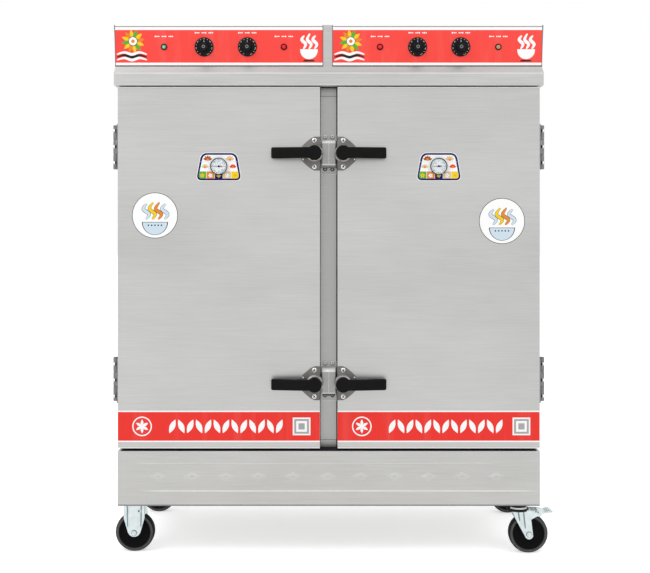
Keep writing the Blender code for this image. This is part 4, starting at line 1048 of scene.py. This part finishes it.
def make_hinge(side, row):
    """A hinge on the cabinet's side: leaves, knuckles and pin, and the door's three cap nuts."""
    way = sides[side]
    name = f"{side}_{row}"
    low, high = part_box(f"hinge_frame_leaf_{name}")
    hinge = pivot(f"{side}_door_hinge")
    pin = Vector((hinge.x, hinge.y, (low.z + high.z) / 2))
    place = Matrix.Translation(pin)
    outward = Matrix.Rotation(math.radians(90 * way), 4, "Y")
    half = (high.z - low.z) / 2
    zones = {"frame": ((-half, -0.0224), (0.0224, half)), "door": ((-0.0216, 0.0216),)}
    for owner, direction in (("frame", 1), ("door", -1)):
        leaf_low = (hinge_inner * way, direction * 0.005, -half)
        leaf_high = (hinge_outer * way, direction * 0.043, half)
        parts = [(block(leaf_low, leaf_high, 0.0008), place, hinge_grey)]
        for start, end in zones[owner]:
            step = (0, direction * 0.0085, end)
            parts.append((block((hinge_inner * way, 0, start), step, 0.0006), place, hinge_grey))
            barrel = [
                (0, end),
                (0.0072, end),
                (hinge_barrel, end - 0.0012),
                (hinge_barrel, start + 0.0012),
                (0.0072, start),
                (0, start),
            ]
            parts.append((turned(barrel, 40), place, hinge_grey))
        if owner == "frame":
            parts.append((bar((0, 0, -half), (0, 0, half), 0.004, 24), place, bright_screw))
        for z in (-0.0495, 0.0, 0.0495):
            at = Matrix.Translation(pin + Vector((hinge_outer * way, direction * 0.026, z))) @ outward
            if owner == "frame":
                parts += screw(at @ spun(3000 * z), 0.0046, 0.0012)
            else:
                parts += cap_nut(at @ spun(900 * z))
        node = f"hinge_{owner}_leaf_{name}"
        body = "cabinet" if owner == "frame" else f"{side}_door"
        piece(f"hinge_{owner}_plate_{name}", body, parts, node, node)


def cap_nut(place):
    """A bright domed nut on a collar of painted shade."""
    hexagon = arc((0, 0), 0.0054, 0, 360, 6)[:-1]
    dome = [(0, 0.0156), (0.0022, 0.0153), (0.0038, 0.0142), (0.0047, 0.0124), (0.005, 0.0104), (0, 0.0102)]
    return [
        (disc(0.0052, 0.008, 0.0003, 28), place, painted_shade_black),
        (slab(hexagon, 0.0024, 0.0004, base=0.008), place, bright_screw),
        (turned(dome, 28), place, bright_screw),
    ]


def make_strike_trim(row):
    """The strike's screws ringed with painted shadow, its upper slope in painted highlight and painted
    shade on the sheet at its foot.
    """
    low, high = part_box(f"strike_{row}")
    x, z = (low.x + high.x) / 2, (low.z + high.z) / 2
    flange = high.y - 0.0021
    web = low.y
    sheet = rounded_outline(oblong(-0.0238, -0.0608, 0.0238, -0.0428), 0.001, 2)
    parts = [(slab(sheet, 0.0002), facing_front(x, z, flange), strike_steel_shaded)]
    for dx in (-0.0113, 0.0113):
        for dz in (-0.0455, 0.056):
            at = facing_front(x + dx, z + dz, flange)
            upper = dz > 0
            # Painted shadow: a disc under each screw, moved down under the upper ones; the upper washers
            # are painted highlight.
            shade = at @ spot(0, -0.0022 if upper else 0)
            parts.append((disc(0.0066, 0.0004, 0.0001, 32), shade, cast_grey if upper else painted_shade_black))
            washer = 0.0052 if upper else 0.0036
            parts.append((disc(washer, 0.001, 0.0002, 32), at, highlight_sheet if upper else hinge_grey))
            parts.append((disc(0.0018, 0.0004, 0, 20, 0.0009), at, painted_shade_black if upper else post_steel_shaded))
    web_half = 0.0335
    # Painted highlight on the upper bend, the darker steel on the lower one.
    for way, material in ((1, highlight_sheet), (-1, strike_steel_shaded)):
        bend = [(web - 0.0003, web_half - 0.0008), (web + 0.004, web_half + 0.0056)]
        bend += [(web + 0.01, web_half + 0.0088), (flange, web_half + 0.009), (flange, web_half + 0.007)]
        ends = [[(dx, y, way * dz) for y, dz in bend] for dx in (-0.02, 0.02)]
        parts.append((lofted(ends), spot(x, 0, z), material))
    front = facing_front(x, z, web)
    # Painted highlight along the web's lower edge.
    lip = oblong(-0.019, -0.0334, 0.019, -0.0312)
    parts.append((slab(lip, 0.0002, base=0.0001), front, highlight_sheet))
    # Lines of painted shade beside the web, and a darker line down its middle.
    lines = ((0.0, 0.0011, post_steel_shaded), (-0.0204, 0.0006, painted_shade_black), (0.0204, 0.0006, painted_shade_black))
    for dx, half, material in lines:
        line = oblong(dx - half, -0.0308, dx + half, 0.0325)
        parts.append((slab(line, 0.0002, base=0.0001), front, material))
    piece(f"strike_trim_{row}", "cabinet", parts, f"strike_{row}")


def make_seams():
    """Weld lines where the middle post meets the rails, and dark lines of painted shade along its two
    edges, beside the doors.
    """
    low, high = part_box("front_frame")
    parts = []
    for z in (1.4202, 0.3537):
        start = (middle_x - 0.052, low.y - 0.0004, z - 0.0007)
        end = (middle_x + 0.052, low.y + 0.0004, z + 0.0007)
        parts.append((block(start, end, 0.0003), in_place, cast_grey))
    # Painted shade: dark lines along the post's edges.
    for x, wide in ((-0.0262, 0.0008), (0.0244, 0.0012)):
        start = (middle_x + x - wide, low.y - 0.0006, low.z + 0.001)
        end = (middle_x + x + wide, low.y + 0.0004, high.z - 0.001)
        parts.append((block(start, end, 0.0002), in_place, painted_shade_black))
    piece("post_welds_and_edge_shade", "cabinet", parts, "front_frame")


def make_doors():
    stickers = {"left": (196.3, 241.3, 201.3, 236.7), "right": (416.6, 461.2, 421.5, 456.6)}
    for side in sides:
        make_dial(side)
        make_dial_sticker(side, *stickers[side])
        make_hems(side)
        for row in rows:
            make_latch(side, row)
            make_hinge(side, row)
    make_round_sticker("left", 155.0, 215.4)
    make_round_sticker("right", 502.0, 221.0)
    make_band("left", 117.9, 319.8)
    make_band("right", 337.6, 539.6)
    for row in rows:
        make_strike_trim(row)
    make_seams()


# Plinth and back


def make_plinth_pressings():
    """A long crease in painted highlight over a line of painted shade, a fainter line, plain lozenges, and
    the folded lower edge of the plinth in dark grey as painted shade.
    """
    parts = []
    # Painted highlight on the lower crease, with a line of painted shade just under it.
    creases = (
        (133, 500, 463.2, 0.001, plinth_steel),
        (140, 539, 490.9, 0.0013, highlight_sheet),
        (140, 539, 491.8, 0.0008, post_steel_shaded),
    )
    for start, end, py, half, material in creases:
        left, z = from_photo(start, py)
        right, z = from_photo(end, py)
        taper = 0.06
        line = [(left, 0), (left + taper, -half), (right - taper, -half)]
        line += [(right, 0), (right - taper, half), (left + taper, half)]
        outline = [(x - middle_x, y) for x, y in line]
        parts.append((slab(outline, 0.0005, 0.0003), facing_front(middle_x, z), material))
    for px in (158, 192, 225.5, 258.4, 292.8, 327.7, 360.6, 394.5, 428.7, 462.4, 496):
        x, z = from_photo(px, 476.5)
        for size, thickness in ((1.0, 0.0004), (0.55, 0.0007)):
            outline = [(-0.024 * size, 0), (0, -0.0125 * size), (0.024 * size, 0), (0, 0.0125 * size)]
            parts.append((slab(outline, thickness, 0.0003), facing_front(x, z), plinth_steel))
    # Painted shade: the folded lower edge is dark grey.
    fold = block(
        (plinth_low.x + 0.0005, door_y - 0.0004, plinth_low.z - 0.0024),
        (plinth_high.x - 0.0005, door_y + 0.0012, plinth_low.z + 0.0016),
        0.0003,
    )
    parts.append((fold, in_place, hinge_grey))
    piece("plinth_pressings", "cabinet", parts, "base_plinth")


def make_sill():
    """A dark ribbed strip on the plinth's ledge, painted shade for the gap below the doors."""
    frame_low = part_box("front_frame")[0]
    low = (plinth_low.x + 0.01, door_y + 0.003, plinth_high.z + 0.0002)
    high = (plinth_high.x - 0.01, frame_low.y - 0.0006, plinth_high.z + 0.0022)
    parts = [(block(low, high, 0.0006), in_place, painted_shade_black)]
    for i in range(4):
        y = low[1] + 0.008 + i * 0.011
        rib_low = (low[0] + 0.002, y, high[2] - 0.0002)
        rib_high = (high[0] - 0.002, y + 0.003, high[2] + 0.0008)
        parts.append((block(rib_low, rib_high, 0.0004), in_place, painted_shade_black))
    piece("sill_shade_strip", "cabinet", parts, "base_plinth")


def make_back_rivets():
    """Rivets along the casing's back and its sides' rear edges, and the control box's back."""
    low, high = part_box("outer_casing")
    parts = []
    backward = Matrix.Rotation(math.radians(-90), 4, "X")
    for i in range(9):
        z = low.z + 0.03 + (high.z - low.z - 0.06) * i / 8
        for x in (low.x + 0.02, high.x - 0.02):
            parts += rivet(spot(x, high.y, z) @ backward, 0.0035)
    for i in range(1, 8):
        x = low.x + 0.02 + (high.x - low.x - 0.04) * i / 8
        for z in (low.z + 0.03, high.z - 0.03):
            parts += rivet(spot(x, high.y, z) @ backward, 0.0035)
    piece("casing_rivets", "cabinet", parts, "outer_casing")
    parts = []
    for i in range(7):
        x = box_low.x + 0.03 + (box_high.x - box_low.x - 0.06) * i / 6
        parts += screw(spot(x, box_high.y, box_high.z - 0.012) @ backward, 0.004)
    piece("control_box_screws", "cabinet", parts, "control_box")


# Casters


axle_z = 0.0605
cheek_depth = 0.025


def make_wheel(name):
    """A caster wheel: a rubber tread with a paler moulded band, and a black hub with its bearing."""
    node = f"wheel_{name}"
    at = middle_of(node)
    place = facing_front(at.x, at.z, at.y)
    rubber = [(0.0475, 0.013), (0.0485, 0.016), (0.051, 0.0168), (0.0555, 0.0166)]
    rubber += [(0.0585, 0.015), (0.0601, 0.011), (0.0605, 0.005)]
    hub = [(0.0064, 0.02), (0.0125, 0.02), (0.0145, 0.019), (0.015, 0.015), (0.02, 0.0118)]
    hub += [(0.038, 0.011), (0.043, 0.0135), (0.0474, 0.015), (0.048, 0.012)]
    band = [(0.0502, 0.0168), (0.051, 0.0173), (0.0548, 0.0171)]
    band += [(0.0572, 0.016), (0.057, 0.0149), (0.0502, 0.0158)]
    race = oblong(0.0064, 0.019404, 0.01, 0.019992)
    parts = [
        (turned(mirrored(rubber), 96, closed=True), place, tread),
        (turned(mirrored(hub), 72, closed=True), place, hub_plastic),
    ]
    for way in (1, -1):
        parts.append((turned([(r, way * h) for r, h in band], 96, closed=True), place, tread_band))
        parts.append((turned([(r, way * h) for r, h in race], 40, closed=True), place, zinc))
    piece(f"wheel_tread_{name}", f"{name}_wheel", parts, node, node)


def make_rigid_fork_trim(row):
    """Pressed ribs drawn in painted shade with painted highlights beside them, a shoulder with a crease of
    painted shade, a rivet on a disc of painted shade and the axle's nut on a fixed fork's cheek.
    """
    node = f"rigid_caster_{row}"
    at = middle_of(node)
    x, cheek = at.x, at.y - cheek_depth
    front = facing_front(x, 0, cheek)
    parts = []
    for dx in (-0.02, 0.0212):
        flare = math.copysign(0.0055, dx)
        line = [(dx, 0.079), (dx, 0.11), (dx, 0.138), (dx + flare, 0.157)]
        parts.append((slab(ribbon(line, 0.0062), 0.0003, base=0.0001), front, zinc_shade))
        bright = [(a - flare * 0.45, b) for a, b in line]
        parts.append((slab(ribbon(bright, 0.003), 0.0006, 0.0002), front, highlight_sheet))
    shoulder = [(0.03, 0.119), (0.0378, 0.119), (0.0398, 0.1225), (0.0398, 0.1585), (0.03, 0.1585)]
    parts.append((slab(shoulder, 0.003, 0.0004), facing_front(x, 0, cheek + 0.0045), zinc))
    crease = [(0.0326, 0.1195), (0.0344, 0.1195), (0.0344, 0.158), (0.0326, 0.158)]
    parts.append((slab(crease, 0.0003), facing_front(x, 0, cheek + 0.0015), zinc_shade))
    stud = facing_front(x + 0.0165, 0.1285, cheek)
    parts.append((disc(0.0038, 0.0004, 0.0001, 24), stud, painted_shade_black))
    ring = [(0.0038, 0.0011), (0.0058, 0.0011), (0.0064, 0), (0.0036, 0)]
    parts.append((turned(ring, 32, closed=True), stud, zinc))
    parts += nut(facing_front(x, axle_z, cheek))
    piece(f"rigid_fork_trim_{row}", "cabinet", parts, node)


def make_swivel_fork_trim(row):
    """A swivel fork's ribs in painted shade and painted highlight, rivets and nut, and its crown in painted
    shade with an arc of painted highlight in front.
    """
    swivel = pivot(f"right_{row}_fork_swivel")
    cheek = swivel.y - cheek_depth
    trail = 0.031
    face = facing_front(swivel.x, 0, cheek)
    parts = []
    for lower, upper in (((0.002, 0.102), (-0.0035, 0.132)), ((0.019, 0.079), (0.013, 0.132))):
        line = [lower, ((lower[0] + upper[0]) / 2 + 0.001, (lower[1] + upper[1]) / 2), upper]
        parts.append((slab(ribbon(line, 0.006), 0.0003, base=0.0001), face, zinc_shade))
        bright = [(x + 0.003, z) for x, z in line]
        parts.append((slab(ribbon(bright, 0.003), 0.0006, 0.0002), face, highlight_sheet))
    for dx, z, radius in ((0.064, 0.1245, 0.0042), (0.05, 0.127, 0.0022)):
        parts += rivet(facing_front(swivel.x + dx, z, cheek), radius, zinc)
    for dx, z in ((0.052, 0.131), (0.0585, 0.13)):
        parts.append((disc(0.0022, 0.0003, 0, 20), facing_front(swivel.x + dx, z, cheek), painted_shade_black))
    parts += nut(facing_front(swivel.x + trail, axle_z, cheek))
    crown = [(0, 0.1388), (0.03, 0.1388), (0.0334, 0.1374), (0.0345, 0.1352), (0.0343, 0.1316), (0, 0.1314)]
    middle = spot(swivel.x, swivel.y)
    parts.append((turned(crown, 64), middle, painted_shade_black))
    bowl = arc((0, 0), 0.0302, 212, 328, 28) + arc((0, 0), 0.028, 328, 212, 28)
    parts.append((slab(bowl, 0.0052, base=0.1386), middle, highlight_sheet))
    piece(f"swivel_fork_trim_{row}", f"right_{row}_fork", parts, f"swivel_fork_{row}")


def make_swivel_plate(row):
    """A swivel caster's top plate with its race in painted shade and four bolts."""
    node = f"swivel_plate_{row}"
    swivel = pivot(f"right_{row}_fork_swivel")
    middle = spot(swivel.x, swivel.y)
    low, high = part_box(node)
    wide, deep = (high.x - low.x) / 2, (high.y - low.y) / 2
    plate = rounded_outline(oblong(-wide, -deep, wide, deep), 0.006)
    drum = [(0, 0.1596), (0.03, 0.1596), (0.03, 0.151), (0.027, 0.148), (0.014, 0.147), (0, 0.147)]
    neck = [(0, 0.1472), (0.013, 0.1472), (0.013, 0.1403), (0, 0.1403)]
    parts = [
        (slab(plate, 0.004, 0.0008, base=0.159), middle, zinc),
        (turned(drum, 64), middle, painted_shade_black),
        (turned(neck, 48), middle, painted_shade_black),
    ]
    downward = Matrix.Rotation(math.pi, 4, "X")
    for x in (-0.029, 0.029):
        for y in (-0.038, 0.038):
            parts += nut(spot(swivel.x + x, swivel.y + y, 0.1591) @ downward)
    piece(f"swivel_race_{row}", "cabinet", parts, node, node)


def nut(place):
    """A hexagon nut over a washer of painted shade, with the axle's end in a dark ring of painted shade."""
    hexagon = arc((0, 0), 0.0056, 0, 360, 6)[:-1]
    return [
        (disc(0.009, 0.0006, 0.0002, 32), place, painted_shade_black),
        (slab(hexagon, 0.0036, 0.0006, base=0.0006), place, bright_screw),
        (disc(0.0036, 0.0004, 0.0001, 24, 0.0042), place, painted_shade_black),
        (disc(0.0028, 0.002, 0.0005, 24, 0.0042), place, zinc),
    ]


def make_pedal(row):
    """The brake's wavy foot pedal: a thin sheet with folded sides, grip ridges and a black end cap."""
    at = pivot(f"right_{row}_pedal_press")
    half = 0.0204
    place = facing_front(at.x, at.z, at.y + half)
    wave = [(-0.004, 0.0066), (0.0, 0.0064), (0.01, 0.005), (0.019, 0.006)]
    wave += [(0.027, 0.0092), (0.035, 0.0088), (0.0412, 0.0058)]
    top = curve_through(wave, 4)
    sheet = slab(top + [(x, z - 0.0018) for x, z in top[::-1]], 2 * half, 0.0004)
    parts = [(sheet, place, zinc)]
    lip = top + [(0.0395, 0.0018), (0.03, 0.0012), (0.015, -0.001), (0.004, -0.0042), (-0.004, -0.0042)]
    for start in (0, 2 * half - 0.0018):
        parts.append((slab(lip, 0.0018, 0.0003, base=start), place, zinc))
    cap = [(0.0345, 0.0016), (0.0414, 0.0016), (0.0414, 0.0056), (0.0345, 0.0072)]
    cap = rounded_outline(cap, 0.001, 3)
    parts.append((slab(cap, 2 * half - 0.004, 0.0006, base=0.002), place, black_plastic))
    ends = [(at.x, at.y + way * 0.0249, at.z) for way in (-1, 1)]
    parts.append((bar(*ends, 0.0029, 24), in_place, bright_screw))
    # Painted shade: the grip ridges are darker zinc.
    for x, z in ((0.019, 0.006), (0.025, 0.0086), (0.031, 0.0096)):
        ends = [(at.x + x, at.y + way * (half - 0.003), at.z + z - 0.0006) for way in (-1, 1)]
        parts.append((bar(*ends, 0.001, 12), in_place, zinc_shade))
    node = f"brake_pedal_{row}"
    piece(f"pedal_plate_{row}", f"right_{row}_pedal", parts, node, node)


def make_casters():
    for row in ("front", "rear"):
        make_wheel(f"left_{row}")
        make_wheel(f"right_{row}")
        make_rigid_fork_trim(row)
        make_swivel_fork_trim(row)
        make_swivel_plate(row)
        make_pedal(row)


# Studio


def seen_plainly(tree):
    """One for the camera, for reflections and through glass, and zero for light on surfaces."""
    path = add_node(tree, "ShaderNodeLightPath").outputs
    seen = maths(tree, "MAXIMUM", path["Is Camera Ray"], path["Is Glossy Ray"])
    return maths(tree, "MAXIMUM", seen, path["Is Transmission Ray"])


def make_floor():
    """A pale floor without an edge, which keeps the object's shadow."""
    mesh = bpy.data.meshes.new("studio_floor")
    bm = bmesh.new()
    bmesh.ops.create_grid(bm, x_segments=1, y_segments=1, size=40)
    bm.to_mesh(mesh)
    bm.free()
    floor = bpy.data.objects.new("studio_floor", mesh)
    bpy.context.scene.collection.objects.link(floor)
    material, tree, shader = base_material("pale_floor", 0, 0, Emission_Color=(1, 1, 1, 1))
    cloud = noise(tree, 0.6, 3, 0.5)
    tone = mixed(tree, spread(tree, cloud, 0, 1), (0.96, 0.96, 0.96, 1), (0.98, 0.98, 0.98, 1))
    finish_material(tree, shader, tone, spread(tree, cloud, 0.85, 0.95), cloud, 0.00001)
    camera_ray = add_node(tree, "ShaderNodeLightPath").outputs["Is Camera Ray"]
    lift = maths(tree, "MULTIPLY", seen_plainly(tree), 0.12)
    lift = maths(tree, "MULTIPLY_ADD", camera_ray, 0.36, lift)
    tree.links.new(lift, shader.inputs["Emission Strength"])
    mesh.materials.append(material)


def make_world():
    """White to the camera and in reflections, and a softer level on surfaces."""
    world = bpy.data.worlds.new("studio")
    world.use_nodes = True
    bpy.context.scene.world = world
    tree = world.node_tree
    background = tree.nodes["Background"]
    background.inputs["Color"].default_value = (1, 1, 1, 1)
    strength = spread(tree, seen_plainly(tree), 0.8, 1.0, 0, 1)
    tree.links.new(strength, background.inputs["Strength"])


def add_lamp(name, place, target, size, power):
    light = bpy.data.lights.new(name, "AREA")
    light.shape = "DISK"
    light.size = size
    light.energy = power
    lamp = bpy.data.objects.new(name, light)
    lamp.location = place
    lamp.rotation_euler = (Vector(target) - Vector(place)).to_track_quat("-Z", "Y").to_euler()
    bpy.context.scene.collection.objects.link(lamp)


def make_camera():
    """A level view, nearer and lower than the photograph's; the doors' plane keeps its place in it."""
    distance = 3.1
    height = 0.9985
    camera = bpy.data.cameras.new("photo_camera")
    camera.sensor_width = 36
    camera.lens = pixels_per_metre * distance / photo_width * camera.sensor_width
    camera.shift_x = -0.0058
    camera.shift_y = -0.0838
    camera.clip_end = 100
    obj = bpy.data.objects.new("photo_camera", camera)
    obj.location = (middle_x, door_y - distance, height)
    obj.rotation_euler = (math.radians(90), 0, 0)
    bpy.context.scene.collection.objects.link(obj)
    bpy.context.scene.camera = obj


def make_studio():
    make_floor()
    make_world()
    add_lamp("left_softbox", (-2.75, -3.0, 4.2), (0, 0, 0.9), 2.0, 54)
    add_lamp("right_softbox", (3.0, -3.1, 3.8), (0, 0, 0.9), 2.0, 28)
    make_camera()
    bpy.context.scene.view_settings.view_transform = "Standard"


dress_nodes()
make_panel()
make_doors()
make_plinth_pressings()
make_sill()
make_back_rivets()
make_casters()
make_studio()
bpy.context.view_layer.update()
